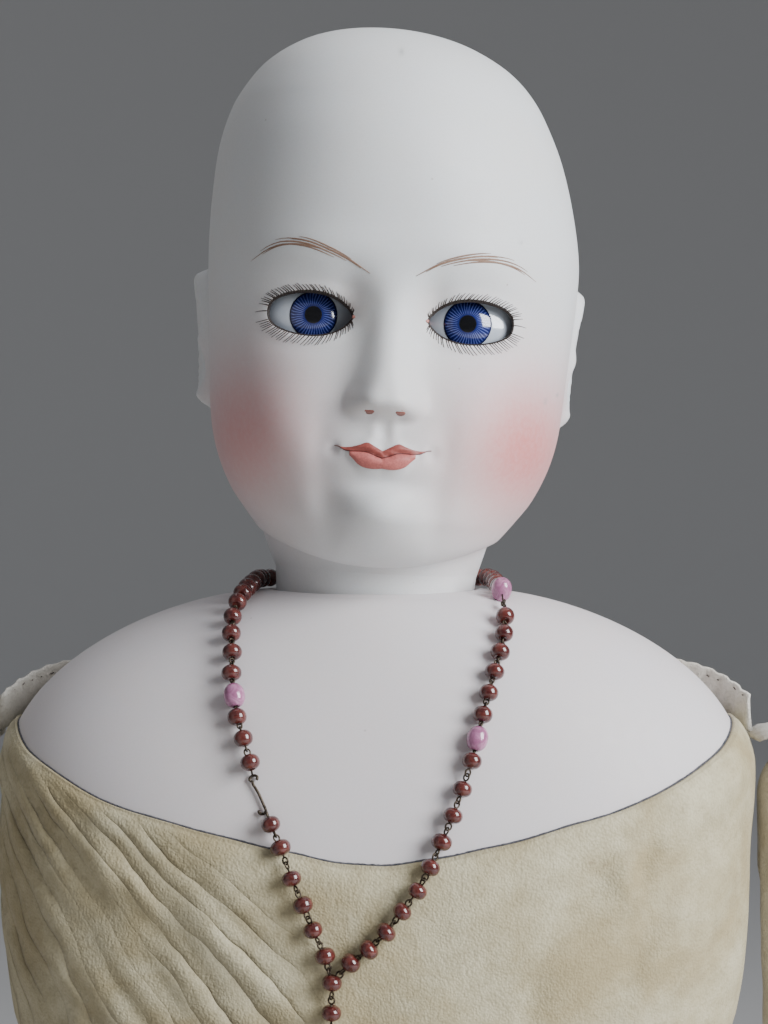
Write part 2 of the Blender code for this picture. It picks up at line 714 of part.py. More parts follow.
def make_arm(side, word, tab_body, arm_body, forearm_body):
    make_tab(side, word, tab_body)
    shoulder = mirrored(SHOULDER, side)
    elbow = mirrored(ELBOW, side)
    course = (elbow - shoulder).normalized()
    stations = rounded_start(shoulder, SHOULDER_R, course)
    for t, radius in ((0.35, 0.0124), (0.7, 0.0122), (0.97, 0.0124)):
        stations.append((shoulder.lerp(elbow, t), radius, radius))
    arm = limb(stations, cap_start=shoulder - course * SHOULDER_R)
    arm = boolean(arm, hinge_clearance(elbow, ELBOW_R + SOCKET_PLAY, 0.12))
    new_object(word + "_upper_arm", arm, "white_kid", arm_body)
    tip = mirrored(HAND_TIP, side)
    course = (tip - elbow).normalized()
    stations = rounded_start(elbow, ELBOW_R, course)
    forearm = ((0.15, 0.0108, 0.0108), (0.32, 0.0102, 0.0102), (0.50, 0.0082, 0.0084),
               (0.62, 0.0064, 0.0072), (0.70, 0.0062, 0.0092), (0.80, 0.0058, 0.0112),
               (0.92, 0.0046, 0.0098), (1.0, 0.0026, 0.0060))
    for t, thick, broad in forearm:
        stations.append((elbow.lerp(tip, t), thick, broad))
    hand = limb(stations, cap_start=elbow - course * ELBOW_R)
    new_object(word + "_forearm", hand, "bisque", forearm_body)


def make_tab(side, word, body):
    """Kid strip from the shoulder seam over the top of the arm."""
    profile = [(0.0795, 0.2532), (0.0860, 0.2552), (0.0940, 0.2552), (0.1010, 0.2532),
               (0.1006, 0.2519), (0.0938, 0.2539), (0.0860, 0.2539), (0.0797, 0.2519)]
    outline = [Vector((side * x, -0.0090, z)) for x, z in profile]
    new_object(word + "_shoulder_tab", extruded(outline, (0.0, 1.0, 0.0), 0.0210), "white_kid", body)


# ---------------------------------------------------------------- necklace
BEAD_R = 0.0018                  # envelope of the bead strands
PINK_R = 0.0021
PINK_HALF_LENGTH = 0.0025
WIRE_R = 0.0005
STRAND_LIFT = 0.0004             # room between a strand and what it lies on
EDGE_LIFT = 0.0004               # more room where a strand crosses the leather's edge
NECK_LOOP_R = 0.0249             # the strand round the back of the neck

# Strand routes in front of the body as (x, z); the strand lies on whatever is behind it.
RIGHT_UPPER = [(-0.0268, 0.2818), (-0.0283, 0.2776), (-0.0280, 0.2726), (-0.0280, 0.2682)]
RIGHT_PINK = (-0.0273, 0.2640)
RIGHT_MIDDLE = [(-0.0267, 0.2600), (-0.0254, 0.2560), (-0.0240, 0.2515)]
RIGHT_HOOK = [(-0.0236, 0.2488), (-0.0224, 0.2455), (-0.0210, 0.2425)]
RIGHT_LOWER = [(-0.0199, 0.2398), (-0.0180, 0.2350), (-0.0158, 0.2298), (-0.0136, 0.2248),
               (-0.0117, 0.2200), (-0.0094, 0.2150)]
LEFT_PINK_TOP = (0.0255, 0.2826)
LEFT_UPPER = [(0.0259, 0.2785), (0.0254, 0.2745), (0.0240, 0.2700), (0.0226, 0.2655), (0.0211, 0.2605)]
LEFT_PINK_LOW = (0.0200, 0.2560)
LEFT_LOWER = [(0.0189, 0.2518), (0.0170, 0.2465), (0.0152, 0.2415), (0.0130, 0.2365), (0.0108, 0.2318),
              (0.0083, 0.2275), (0.0054, 0.2236), (0.0023, 0.2196), (-0.0010, 0.2162), (-0.0045, 0.2136)]
DROP = [(-0.0081, 0.2098), (-0.0082, 0.2040), (-0.0082, 0.1980), (-0.0081, 0.1920), (-0.0080, 0.1860)]
PENDANT = (-0.0080, 0.1822)


def surface_tree(objects):
    """One search tree over the world-space meshes of the given pieces."""
    points, faces = [], []
    for obj in objects:
        base = len(points)
        points += [obj.matrix_world @ v.co for v in obj.data.vertices]
        faces += [[base + i for i in face.vertices] for face in obj.data.polygons]
    return BVHTree.FromPolygons(points, faces)


def resting(tree, place, radius):
    """Centre of a round strand of the radius that lies on the front of the body at (x, z)."""
    x, z = place
    near = Vector((x, -0.2, z))
    hit = tree.ray_cast(near, Vector((0.0, 1.0, 0.0)))[0]
    centre = Vector((x, hit.y - radius, z))
    for _ in range(12):
        nearest = tree.find_nearest(centre)[0]
        short = radius + STRAND_LIFT - (centre - nearest).length
        if short <= 0.0:
            break
        centre.y -= short
    return centre


def smooth_route(points, step=0.0042):
    """Points read from a smooth curve through the route's own points."""
    ends = [points[0] * 2 - points[1]] + points + [points[-1] * 2 - points[-2]]
    route = []
    for i in range(1, len(ends) - 2):
        p0, p1, p2, p3 = ends[i - 1:i + 3]
        parts = max(1, round((p2 - p1).length / step))
        for k in range(parts):
            t = k / parts
            route.append(0.5 * (
                p1 * 2 + (p2 - p0) * t + (p0 * 2 - p1 * 5 + p2 * 4 - p3) * t * t
                + (p1 * 3 - p0 - p2 * 3 + p3) * t ** 3
            ))
    return route + [points[-1]]


def clear_of(tree, centre, radius):
    """Move a point of a strand straight out from the body until the strand lies clear of it."""
    for _ in range(6):
        nearest = tree.find_nearest(centre)[0]
        away = centre - nearest
        short = radius + STRAND_LIFT - away.length
        if short <= 0.0:
            break
        centre = centre + away.normalized() * short
    return centre


def strand(name, points, radius, finish, body, tree, extra=0.0):
    """Strand as a bevelled curve with filled caps that follows a smooth route over the body."""
    curve = bpy.data.curves.new(name, "CURVE")
    curve.dimensions = "3D"
    curve.bevel_depth = radius
    curve.bevel_resolution = 1
    curve.use_fill_caps = True
    route = [clear_of(tree, point, radius + extra) for point in smooth_route(points)]
    spline = curve.splines.new("POLY")
    spline.points.add(len(route) - 1)
    for point, place in zip(spline.points, route):
        point.co = (*place, 1.0)
    obj = bpy.data.objects.new(name, curve)
    bpy.context.scene.collection.objects.link(obj)
    curve.materials.append(material(finish))
    obj.parent = body


def pink_bead(name, centre, course, body):
    profile = []
    for k in range(7):
        angle = math.radians(lerp(12.0, 168.0, k / 6))
        profile.append((PINK_R * math.sin(angle), -PINK_HALF_LENGTH * math.cos(angle)))
    mesh = turned(profile, centre, course, 12, loop=False)
    new_object(name, mesh, "pink_bead", body)


def between(first, second, gap):
    """The two ends of a strand piece, each set back from its neighbour's centre."""
    return first + (second - first).normalized() * gap


def make_necklace(body):
    """Wire-linked beads worn round the neck, hooked together at the doll's right."""
    tree = surface_tree([bpy.data.objects["shoulder_plate"], bpy.data.objects["torso_cover"]])

    def on_body(places, radius=BEAD_R):
        return [resting(tree, place, radius) for place in places]

    loop = []
    for degrees in (122, 142, 162, 182, 202, 222, 242, 262, 282, 298):
        loop.append(polar(math.radians(degrees), NECK_LOOP_R, 0.2859))
    right_upper = on_body(RIGHT_UPPER)
    right_pink = on_body([RIGHT_PINK], PINK_R)[0]
    right_middle = on_body(RIGHT_MIDDLE)
    hook = on_body(RIGHT_HOOK, BEAD_R)
    right_lower = on_body(RIGHT_LOWER)
    left_top = on_body([LEFT_PINK_TOP], PINK_R)[0]
    left_upper = on_body(LEFT_UPPER)
    left_low = on_body([LEFT_PINK_LOW], PINK_R)[0]
    left_lower = on_body(LEFT_LOWER)
    drop = on_body(DROP)
    side = polar(math.radians(100.0), NECK_LOOP_R, 0.2859)
    front_left = polar(math.radians(78.0), NECK_LOOP_R + 0.0008, 0.2856)
    back = [between(left_top, front_left, PINK_HALF_LENGTH + GAP), front_left, side] + loop
    strand("necklace_back_strand", back + right_upper, BEAD_R, "red_bead", body, tree)
    strand("necklace_right_middle", right_middle, BEAD_R, "red_bead", body, tree)
    strand("necklace_hook", hook, WIRE_R, "dark_wire", body, tree)
    strand("necklace_right_lower", right_lower, BEAD_R, "red_bead", body, tree, EDGE_LIFT)
    strand("necklace_left_upper", left_upper, BEAD_R, "red_bead", body, tree)
    strand("necklace_left_lower", left_lower, BEAD_R, "red_bead", body, tree, EDGE_LIFT)
    strand("necklace_drop", drop, BEAD_R, "red_bead", body, tree)
    pink_bead("necklace_right_pink_bead", right_pink, right_upper[-1] - right_middle[0], body)
    pink_bead("necklace_left_top_pink_bead", left_top, front_left - left_upper[0], body)
    pink_bead("necklace_left_low_pink_bead", left_low, left_upper[-1] - left_lower[0], body)
    pendant = resting(tree, PENDANT, 0.0026)
    mesh = turned(arc(0.0026, 8.0, 172.0, 7), pendant, sides=14, loop=False)
    new_object("necklace_pendant_bead", mesh, "red_bead", body)


# ---------------------------------------------------------------- assembly
def main():
    for obj in list(bpy.data.objects):
        bpy.data.objects.remove(obj)
    torso = body_empty("torso_body", (0.0, 0.0, 0.0))
    bolt = body_empty("neck_bolt_body", NECK_PIVOT, torso)
    rocker = body_empty("neck_rocker_body", NECK_PIVOT, bolt)
    head = body_empty("head_body", NECK_PIVOT, rocker, (0.0, HEAD_ROLL, 0.0))
    make_head(head)
    make_neck(bolt, rocker)
    make_plate(torso)
    make_torso(torso)
    for side, word in ((1.0, "left"), (-1.0, "right")):
        tab = body_empty(word + "_tab_body", mirrored(TAB_HINGE, side), torso)
        arm = body_empty(word + "_arm_body", mirrored(SHOULDER, side), tab)
        forearm = body_empty(word + "_forearm_body", mirrored(ELBOW, side), arm)
        make_arm(side, word, tab, arm, forearm)
        thigh = body_empty(word + "_thigh_body", mirrored(HIP, side), torso)
        shin = body_empty(word + "_shin_body", mirrored(KNEE, side), thigh)
        make_leg(side, word, thigh, shin)
    make_necklace(torso)


main()
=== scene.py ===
"""Looks of the porcelain fashion doll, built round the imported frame.

Units are metres.  The doll faces -Y; left and right are its own, so its left is at +X.
"""

import math

import bmesh
import bpy
import numpy as np
from mathutils import Matrix, Vector, noise
from mathutils.bvhtree import BVHTree


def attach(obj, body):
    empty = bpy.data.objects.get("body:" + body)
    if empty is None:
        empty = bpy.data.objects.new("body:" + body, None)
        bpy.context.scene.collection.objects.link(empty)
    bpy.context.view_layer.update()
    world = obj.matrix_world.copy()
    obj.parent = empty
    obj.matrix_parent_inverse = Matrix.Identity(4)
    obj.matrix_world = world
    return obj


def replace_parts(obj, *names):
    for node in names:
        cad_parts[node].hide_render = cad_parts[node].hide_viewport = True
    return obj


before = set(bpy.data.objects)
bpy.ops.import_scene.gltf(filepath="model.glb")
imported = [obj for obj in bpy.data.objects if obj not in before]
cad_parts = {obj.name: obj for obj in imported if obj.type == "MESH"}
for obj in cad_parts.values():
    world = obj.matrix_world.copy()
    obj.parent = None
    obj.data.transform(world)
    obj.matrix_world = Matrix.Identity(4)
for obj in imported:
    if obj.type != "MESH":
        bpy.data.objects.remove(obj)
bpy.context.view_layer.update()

TAU = math.tau
SIDES = ((1.0, "left"), (-1.0, "right"))

# ---------------------------------------------------------------- driving dimensions
NECK_PIVOT = Vector((0.0, 0.0, 0.2840))
HEAD_ROLL = math.radians(3.4)
HEAD = Matrix.Translation(NECK_PIVOT) @ Matrix.Rotation(HEAD_ROLL, 4, "Y")
NECK_BALL_R = 0.0208
NECK_HOLE_R = 0.0070
BISQUE = 0.0030
JAW_Z = 0.0120
NECK_SHARE = 0.35                            # part of the jaw's rows that cover the neck
CROWN_Z = 0.1163
CROWN_TILT = math.radians(50.0)
CROWN_DISTANCE = 0.0358
SKULL_CENTRE = Vector((0.0, 0.002, 0.0720))
EYE_X = 0.01565
EYE_Z = 0.0537
EYE_HALF_WIDTH = 0.0081
EYE_HALF_HEIGHT = 0.0040
MOUTH_Z = 0.0264
CAMERA = Vector((0.0019, -0.5000, 0.3000))
LENS = 83.5

# z, half width, front depth, back depth, sideways lean (z from the neck ball's centre)
HEAD_SECTIONS = np.array([
    (0.0120, 0.0256, 0.0362, 0.0235, 0.0000),
    (0.0150, 0.0280, 0.0381, 0.0255, 0.0000),
    (0.0200, 0.0316, 0.0388, 0.0300, 0.0000),
    (0.0270, 0.0347, 0.0398, 0.0355, 0.0000),
    (0.0340, 0.0363, 0.0400, 0.0392, 0.0000),
    (0.0450, 0.0372, 0.0402, 0.0422, 0.0000),
    (0.0540, 0.0379, 0.0408, 0.0437, 0.0000),
    (0.0620, 0.0385, 0.0423, 0.0444, 0.0000),
    (0.0700, 0.0387, 0.0436, 0.0446, -0.0002),
    (0.0800, 0.0378, 0.0440, 0.0440, -0.0010),
    (0.0900, 0.0360, 0.0426, 0.0418, -0.0020),
    (0.0980, 0.0332, 0.0390, 0.0380, -0.0027),
    (0.1030, 0.0304, 0.0354, 0.0343, -0.0029),
    (0.1076, 0.0265, 0.0302, 0.0291, -0.0033),
    (0.1119, 0.0202, 0.0226, 0.0218, -0.0039),
    (0.1142, 0.0147, 0.0162, 0.0156, -0.0043),
    (0.1163, 0.0000, 0.0000, 0.0000, -0.0046),
])


# ---------------------------------------------------------------- small tools
def mm(value):
    """Millimetres to metres."""
    return 0.001 * value


def smooth_table(table, x, column):
    """Smooth curve through a column of a table whose first column rises; x may be an array."""
    xs = table[:, 0]
    ys = table[:, column]
    x = np.clip(np.asarray(x, float), xs[0], xs[-1])
    i = np.clip(np.searchsorted(xs, x, side="left") - 1, 0, len(xs) - 2)
    slopes = np.empty_like(ys)
    slopes[1:-1] = (ys[2:] - ys[:-2]) / (xs[2:] - xs[:-2])
    slopes[0] = (ys[1] - ys[0]) / (xs[1] - xs[0])
    slopes[-1] = (ys[-1] - ys[-2]) / (xs[-1] - xs[-2])
    span = xs[i + 1] - xs[i]
    t = (x - xs[i]) / span
    return (
        ys[i] * (2 * t ** 3 - 3 * t ** 2 + 1)
        + slopes[i] * span * (t ** 3 - 2 * t ** 2 + t)
        + ys[i + 1] * (3 * t ** 2 - 2 * t ** 3)
        + slopes[i + 1] * span * (t ** 3 - t ** 2)
    )


def smoothstep(low, high, x):
    """0 below low, 1 above high, smooth between; low may be the greater one."""
    t = np.clip((np.asarray(x, float) - low) / (high - low), 0.0, 1.0)
    return t * t * (3.0 - 2.0 * t)


def hill(x, z, centre_x, centre_z, spread_x, spread_z, height):
    """Round bump of a height field."""
    return height * np.exp(-((x - centre_x) / spread_x) ** 2 - ((z - centre_z) / spread_z) ** 2)


def soft_max(a, b, width):
    """Maximum of two height fields with a rounded crease."""
    h = np.clip(0.5 + 0.5 * (a - b) / width, 0.0, 1.0)
    return b * (1 - h) + a * h + width * h * (1 - h)


def superellipse(angle, half_width, front, back, power):
    """Radius at an angle of a rounded outline that is deeper or shallower in front than behind."""
    depth = np.where(np.cos(angle) >= 0.0, front, back)
    across = np.abs(np.sin(angle) / half_width) ** power
    along = np.abs(np.cos(angle) / depth) ** power
    return (across + along) ** (-1.0 / power)


def polar(angle, radius, z):
    """Points round the upright axis; angle 0 is the front."""
    return np.stack([radius * np.sin(angle), -radius * np.cos(angle), z + 0.0 * angle], axis=-1)


def mirrored(place, side):
    return Vector((side * place.x, place.y, place.z))


def full_turn(count):
    return TAU * np.arange(count) / count


def front_angles(columns, gather):
    """Angles round the body, closer together at the front."""
    u = full_turn(columns)
    return u - gather * np.sin(u)


def add_object(name, data, matrix=None):
    """New object in the scene for a mesh, a light or a camera."""
    obj = bpy.data.objects.new(name, data)
    bpy.context.scene.collection.objects.link(obj)
    if matrix is not None:
        obj.matrix_world = matrix
    return obj


def add_mesh(name, points, faces, material, matrix=None):
    """New object from arrays of points and faces."""
    mesh = bpy.data.meshes.new(name)
    mesh.from_pydata([tuple(p) for p in points], [], [tuple(int(i) for i in f) for f in faces])
    mesh.materials.append(material)
    mesh.shade_smooth()
    return add_object(name, mesh, matrix)


def grid_faces(rows, columns, closed=True, offset=0):
    """Quads between the rows of a grid of points stored row by row."""
    faces = []
    last = columns if closed else columns - 1
    for r in range(rows - 1):
        base = offset + r * columns
        for c in range(last):
            n = (c + 1) % columns
            faces.append((base + c, base + n, base + columns + n, base + columns + c))
    return faces


def capped_faces(rows, columns):
    """Faces of a closed shape: the grid's quads and a cap at each end."""
    last = (rows - 1) * columns
    return grid_faces(rows, columns) + [tuple(range(columns)), tuple(range(last, last + columns))]


def looped_faces(rows, columns):
    """Faces of a closed shape whose last row of points joins its first."""
    last = (rows - 1) * columns
    seam = [(last + c, last + (c + 1) % columns, (c + 1) % columns, c) for c in range(columns)]
    return grid_faces(rows, columns) + seam


def face_outward(obj):
    """Turn the faces of a closed piece outwards."""
    bm = bmesh.new()
    bm.from_mesh(obj.data)
    bmesh.ops.recalc_face_normals(bm, faces=bm.faces)
    bm.to_mesh(obj.data)
    bm.free()
    return obj


def attribute(obj, name, values):
    """Store one number for each point of a piece, for its material to read."""
    layer = obj.data.attributes.new(name, "FLOAT", "POINT")
    layer.data.foreach_set("value", np.asarray(values, np.float32))


def settle(obj, body, slot, *nodes):
    """Give a piece its moving body, and hide the CAD nodes that it stands for; slot is not used."""
    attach(obj, body)
    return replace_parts(obj, *nodes) if nodes else obj


def closed_piece(name, grid, material, body, slot, node):
    """Finished piece from a grid of points that is closed round and capped at both ends."""
    obj = face_outward(add_mesh(name, grid.reshape(-1, 3), capped_faces(*grid.shape[:2]), material))
    return settle(obj, body, slot, node)


# ---------------------------------------------------------------- material tools
class Nodes:
    """Short spelling for building one material's node tree."""

    def __init__(self, name):
        self.material = bpy.data.materials.new(name)
        self.material.use_nodes = True
        self.tree = self.material.node_tree
        self.shader = self.tree.nodes["Principled BSDF"]
        self.place = self.add("ShaderNodeTexCoord").outputs["Object"]

    def add(self, kind, **settings):
        node = self.tree.nodes.new(kind)
        for key, value in settings.items():
            setattr(node, key, value)
        return node

    def link(self, source, target):
        self.tree.links.new(source, target)
        return source

    def feed(self, target, value):
        if isinstance(value, bpy.types.NodeSocket):
            self.link(value, target)
        elif isinstance(value, (tuple, list)) and len(value) == 3 and len(target.default_value) == 4:
            target.default_value = (*value, 1.0)
        else:
            target.default_value = value

    def noise(self, scale, detail=3.0, rough=0.5, distortion=0.0, place=None):
        node = self.add("ShaderNodeTexNoise")
        self.feed(node.inputs["Scale"], scale)
        self.feed(node.inputs["Detail"], detail)
        self.feed(node.inputs["Roughness"], rough)
        self.feed(node.inputs["Distortion"], distortion)
        self.link(place or self.place, node.inputs["Vector"])
        return node.outputs["Fac"]

    def cells(self, scale, feature="F1"):
        node = self.add("ShaderNodeTexVoronoi", feature=feature)
        self.feed(node.inputs["Scale"], scale)
        self.link(self.place, node.inputs["Vector"])
        return node.outputs["Distance"]

    def math(self, operation, a, b=0.0):
        node = self.add("ShaderNodeMath", operation=operation)
        self.feed(node.inputs[0], a)
        self.feed(node.inputs[1], b)
        return node.outputs[0]

    def ramp(self, value, low, high, start=0.0, stop=1.0):
        node = self.add("ShaderNodeMapRange", interpolation_type="SMOOTHSTEP")
        self.feed(node.inputs["Value"], value)
        for key, number in (("From Min", low), ("From Max", high), ("To Min", start), ("To Max", stop)):
            self.feed(node.inputs[key], number)
        return node.outputs["Result"]

    def mix(self, factor, a, b):
        node = self.add("ShaderNodeMix", data_type="RGBA")
        self.feed(node.inputs[0], factor)
        self.feed(node.inputs[6], a)
        self.feed(node.inputs[7], b)
        return node.outputs[2]

    def value_of(self, name):
        return self.add("ShaderNodeAttribute", attribute_name=name).outputs["Fac"]

    def bump(self, height, distance, strength=1.0, under=None):
        node = self.add("ShaderNodeBump")
        self.feed(node.inputs["Height"], height)
        self.feed(node.inputs["Distance"], distance)
        self.feed(node.inputs["Strength"], strength)
        if under is not None:
            self.link(under, node.inputs["Normal"])
        return node.outputs["Normal"]

    def product(self, *factors):
        """Several values multiplied together."""
        total = factors[0]
        for factor in factors[1:]:
            total = self.math("MULTIPLY", total, factor)
        return total

    def split(self):
        """The X, Y and Z of the point being shaded."""
        node = self.add("ShaderNodeSeparateXYZ")
        self.link(self.place, node.inputs[0])
        return [node.outputs[axis] for axis in "XYZ"]

    def stretched(self, scale, rotation=(0.0, 0.0, 0.0)):
        """Place of the point, turned and scaled, for grain that runs one way."""
        node = self.add("ShaderNodeMapping")
        self.link(self.place, node.inputs["Vector"])
        node.inputs["Rotation"].default_value = rotation
        node.inputs["Scale"].default_value = scale
        return node.outputs["Vector"]

    def set(self, **sockets):
        for key, value in sockets.items():
            self.feed(self.shader.inputs[key.replace("_", " ")], value)
        return self.material


def bisque_material(name, warm=0.0, painted=False):
    """Matte unglazed porcelain: fine speckle, faint blotches, and painted cheeks on the head."""
    n = Nodes(name)
    cool = (0.70, 0.71, 0.72) if painted else (0.66, 0.625, 0.650)
    cream = (0.72, 0.69, 0.655) if painted else (0.69, 0.630, 0.615)
    blotch = n.noise(38.0, 4.0, 0.55)
    colour = n.mix(n.ramp(blotch, 0.35, 0.68, warm, warm + 0.35), cool, cream)
    grain = n.noise(2400.0, 2.0, 0.6)
    colour = n.mix(n.ramp(grain, 0.3, 0.7, 0.0, 0.10), colour, (0.50, 0.48, 0.47))
    specks = n.ramp(n.cells(210.0), 0.030, 0.055, 1.0, 0.0)
    rare = n.ramp(n.noise(120.0, 1.0), 0.62, 0.66)
    colour = n.mix(n.product(specks, rare, 0.35), colour, (0.20, 0.15, 0.12))
    if painted:
        mottle = n.ramp(n.noise(900.0, 3.0, 0.65), 0.25, 0.75, 0.86, 1.0)
        blush = n.product(n.value_of("blush"), mottle)
        colour = n.mix(blush, colour, (0.64, 0.175, 0.165))
        colour = n.mix(n.value_of("tint"), colour, (0.50, 0.30, 0.26))
        colour = n.mix(n.value_of("scuff"), colour, (0.30, 0.30, 0.30))
        colour = n.mix(n.ramp(n.value_of("liner"), 0.3, 0.7), colour, (0.020, 0.013, 0.011))
    shade = n.noise(5200.0, 2.0, 0.5)
    soft = n.noise(420.0, 3.0, 0.5)
    normal = n.bump(shade, 0.00002, 0.35, n.bump(soft, 0.00005, 0.30))
    return n.set(
        Base_Color=colour,
        Roughness=n.ramp(soft, 0.3, 0.7, 0.50, 0.60),
        Normal=normal,
        Specular_IOR_Level=0.38,
        Sheen_Weight=0.08,
        Sheen_Roughness=0.5,
        Subsurface_Weight=0.12,
        Subsurface_Radius=(0.0022, 0.0014, 0.0010),
        Subsurface_Scale=1.0,
    )


def flat_paint(name, colour, roughness):
    """China paint brushed on the bisque, slightly paler in streaks."""
    n = Nodes(name)
    streak = n.noise(2600.0, 3.0, 0.6)
    paler = tuple(1.25 * c + 0.01 for c in colour)
    return n.set(
        Base_Color=n.mix(n.ramp(streak, 0.3, 0.7), colour, paler),
        Roughness=roughness,
        Normal=n.bump(streak, 0.00001, 0.3),
    )


BISQUE_HEAD = bisque_material("bisque_painted_head", painted=True)
BISQUE_PLATE = bisque_material("bisque_plate", warm=0.25)
BISQUE_ARM = bisque_material("bisque_arm", warm=0.4)
LASH = flat_paint("lash_stroke", (0.026, 0.015, 0.011), 0.5)
BROW = flat_paint("brow_brown", (0.24, 0.145, 0.100), 0.55)

# ---------------------------------------------------------------- head surface
# z, height of the nose's ridge, its half width
NOSE = np.array([
    (0.0300, 0.0000, 0.0040), (0.0322, 0.0001, 0.0042), (0.0336, 0.0009, 0.0046),
    (0.0346, 0.0034, 0.0064), (0.0358, 0.0060, 0.0068), (0.0374, 0.0074, 0.0068),
    (0.0396, 0.0070, 0.0065), (0.0440, 0.0056, 0.0061), (0.0490, 0.0043, 0.0057),
    (0.0550, 0.0031, 0.0057), (0.0610, 0.0018, 0.0063), (0.0670, 0.0006, 0.0075),
    (0.0740, 0.0000, 0.0085),
])

# x from the middle, then height above the mouth's centre: lips' top, parting line, bottom
LIPS = np.array([
    (0.0000, 0.00135, 0.00000, -0.00205),
    (0.0015, 0.00215, 0.00050, -0.00220),
    (0.0030, 0.00285, 0.00105, -0.00208),
    (0.0045, 0.00235, 0.00112, -0.00150),
    (0.0060, 0.00190, 0.00108, -0.00010),
    (0.0074, 0.00175, 0.00125, 0.00100),
    (0.0087, 0.00190, 0.00185, 0.00180),
])

HEAD_SQUARES = HEAD_SECTIONS.copy()
HEAD_SQUARES[:, 1:4] **= 2


def lip_lines(x):
    """Heights of the lips' top, parting line and bottom at x."""
    across = np.abs(x)
    return [MOUTH_Z + smooth_table(LIPS, across, column) for column in (1, 2, 3)]


def eye_outline(phi, outward=0.0):
    """Almond of an eye opening as (outwards from the nose, up), phi 0 at the outer corner."""
    def raw(angle):
        c, s = np.cos(angle), np.sin(angle)
        up = np.sign(s) * np.abs(s) ** (1.08 - 0.30 * c) * EYE_HALF_HEIGHT
        return np.array([EYE_HALF_WIDTH * c, up + 0.0002 * c])

    place = raw(phi)
    if outward:
        step = 0.02
        run = raw(phi + step) - raw(phi - step)
        run /= np.maximum(np.linalg.norm(run, axis=0), 1e-9)
        place = place + outward * np.array([run[1], -run[0]])
    return place


def lid_relief(x, z):
    """Soft roll of the lids round each opening."""
    u = np.abs(x) - EYE_X
    v = z - EYE_Z
    q = np.sqrt((u / 0.0084) ** 2 + (v / 0.0044) ** 2)
    return 0.00055 * np.exp(-((q - 1.08) / 0.33) ** 2)


def lip_relief(x, z):
    """Both lips, with the groove between them."""
    top, line, bottom = lip_lines(x)
    inside = np.clip(1.0 - (np.abs(x) / 0.0092) ** 2, 0.0, 1.0) ** 0.7
    u = (z - line) / np.maximum(top - line, 0.0005)
    v = (line - z) / np.maximum(line - bottom, 0.0005)
    upper = 0.00085 * np.exp(-((u - 0.45) / 0.62) ** 2)
    lower = 0.00125 * np.exp(-((v - 0.48) / 0.60) ** 2)
    groove = 0.00034 * np.exp(-((z - line) / 0.00065) ** 2)
    return inside * (np.where(z > line, upper, lower) - groove)


# Features of the face: x, z, spread across, spread up, height; hollows have negative heights
MIDDLE_FEATURES = (
    (0.0, 0.0268, 0.0110, 0.0075, 0.0017),       # muzzle
    (0.0, 0.0160, 0.0072, 0.0058, 0.0029),       # chin boss
    (0.0, 0.0216, 0.0074, 0.0019, -0.0010),      # groove under the lip
    (-0.0086, 0.0140, 0.0026, 0.0036, -0.0008),  # hollow by the chin, deeper at the right
    (0.0, 0.0316, 0.0013, 0.0021, -0.00045),     # philtrum
)
PAIRED_FEATURES = (
    (0.0020, 0.0314, 0.0010, 0.0021, 0.00022),   # ridge beside the philtrum
    (0.0215, 0.0315, 0.0115, 0.0120, 0.0024),    # cheek
    (0.0120, 0.0285, 0.0026, 0.0060, -0.00055),  # smile line
    (0.0095, 0.0277, 0.0013, 0.0013, -0.00055),  # dimple
    (0.0108, 0.0165, 0.0030, 0.0056, -0.0009),   # hollow between chin and jaw
    (0.0138, 0.0537, 0.0095, 0.0066, -0.0026),   # eye socket
    (0.0082, 0.0558, 0.0034, 0.0056, -0.0013),   # inner corner of the socket
    (0.0150, 0.0662, 0.0130, 0.0042, 0.0008),    # brow
    (0.0027, 0.0349, 0.0012, 0.0007, -0.0006),   # nostril
)


def face_relief(x, z):
    """How far the features stand in front of the plain head."""
    ridge = smooth_table(NOSE, z, 1)
    width = smooth_table(NOSE, z, 2)
    blunt = 2.1 + 1.3 * np.exp(-((z - 0.0366) / 0.0038) ** 2)
    nose = ridge * np.exp(-np.abs(x / width) ** blunt)
    for side in (-1.0, 1.0):
        reach = ((x - side * 0.0050) / 0.0034) ** 2 + ((z - 0.0372) / 0.0036) ** 2
        wing = 0.0031 * np.clip(1.0 - reach, 0.0, 1.0) ** 0.75
        nose = soft_max(nose, wing, 0.0026)
    relief = nose + lip_relief(x, z) + lid_relief(x, z)
    for feature in MIDDLE_FEATURES:
        relief = relief + hill(x, z, *feature)
    for across, *rest in PAIRED_FEATURES:
        for side in (-1.0, 1.0):
            relief = relief + hill(x, z, side * across, *rest)
    return relief


def ear_relief(y, z):
    """Moulded ear as a height over the side of the head."""
    v = (z - 0.0507) / 0.0147
    u = (y - 0.0030 - 0.0022 * v) / (0.0076 + 0.0010 * v)
    r = np.sqrt(u * u + np.abs(v) ** 2.4)
    mask = 1.0 - smoothstep(0.90, 1.06, r)
    lift = (0.0011 + 0.0017 * smoothstep(-0.9, 0.9, u)) * (0.85 + 0.30 * v)
    rim = 0.0011 * np.exp(-((r - 0.80) / 0.13) ** 2) * smoothstep(-0.95, -0.2, u + 0.5 * v)
    inner = 0.0007 * np.exp(-((r - 0.42) / 0.13) ** 2) * smoothstep(-0.3, 0.5, u)
    bowl = hill(u, v, -0.10, -0.12, 0.34, 0.30, 0.0019)
    flap = hill(u, v, -0.72, -0.08, 0.20, 0.18, 0.0012)
    lobe = hill(u, v, -0.15, -0.80, 0.42, 0.22, 0.0008)
    return np.maximum(mask * (lift + rim + inner - bowl + flap + lobe), -0.0006)


def head_power(z):
    """How square the head's outline is at a height: rounder at the crown, fuller at the cheeks."""
    return 2.0 + 0.45 * np.exp(-((z - 0.046) / 0.030) ** 2)


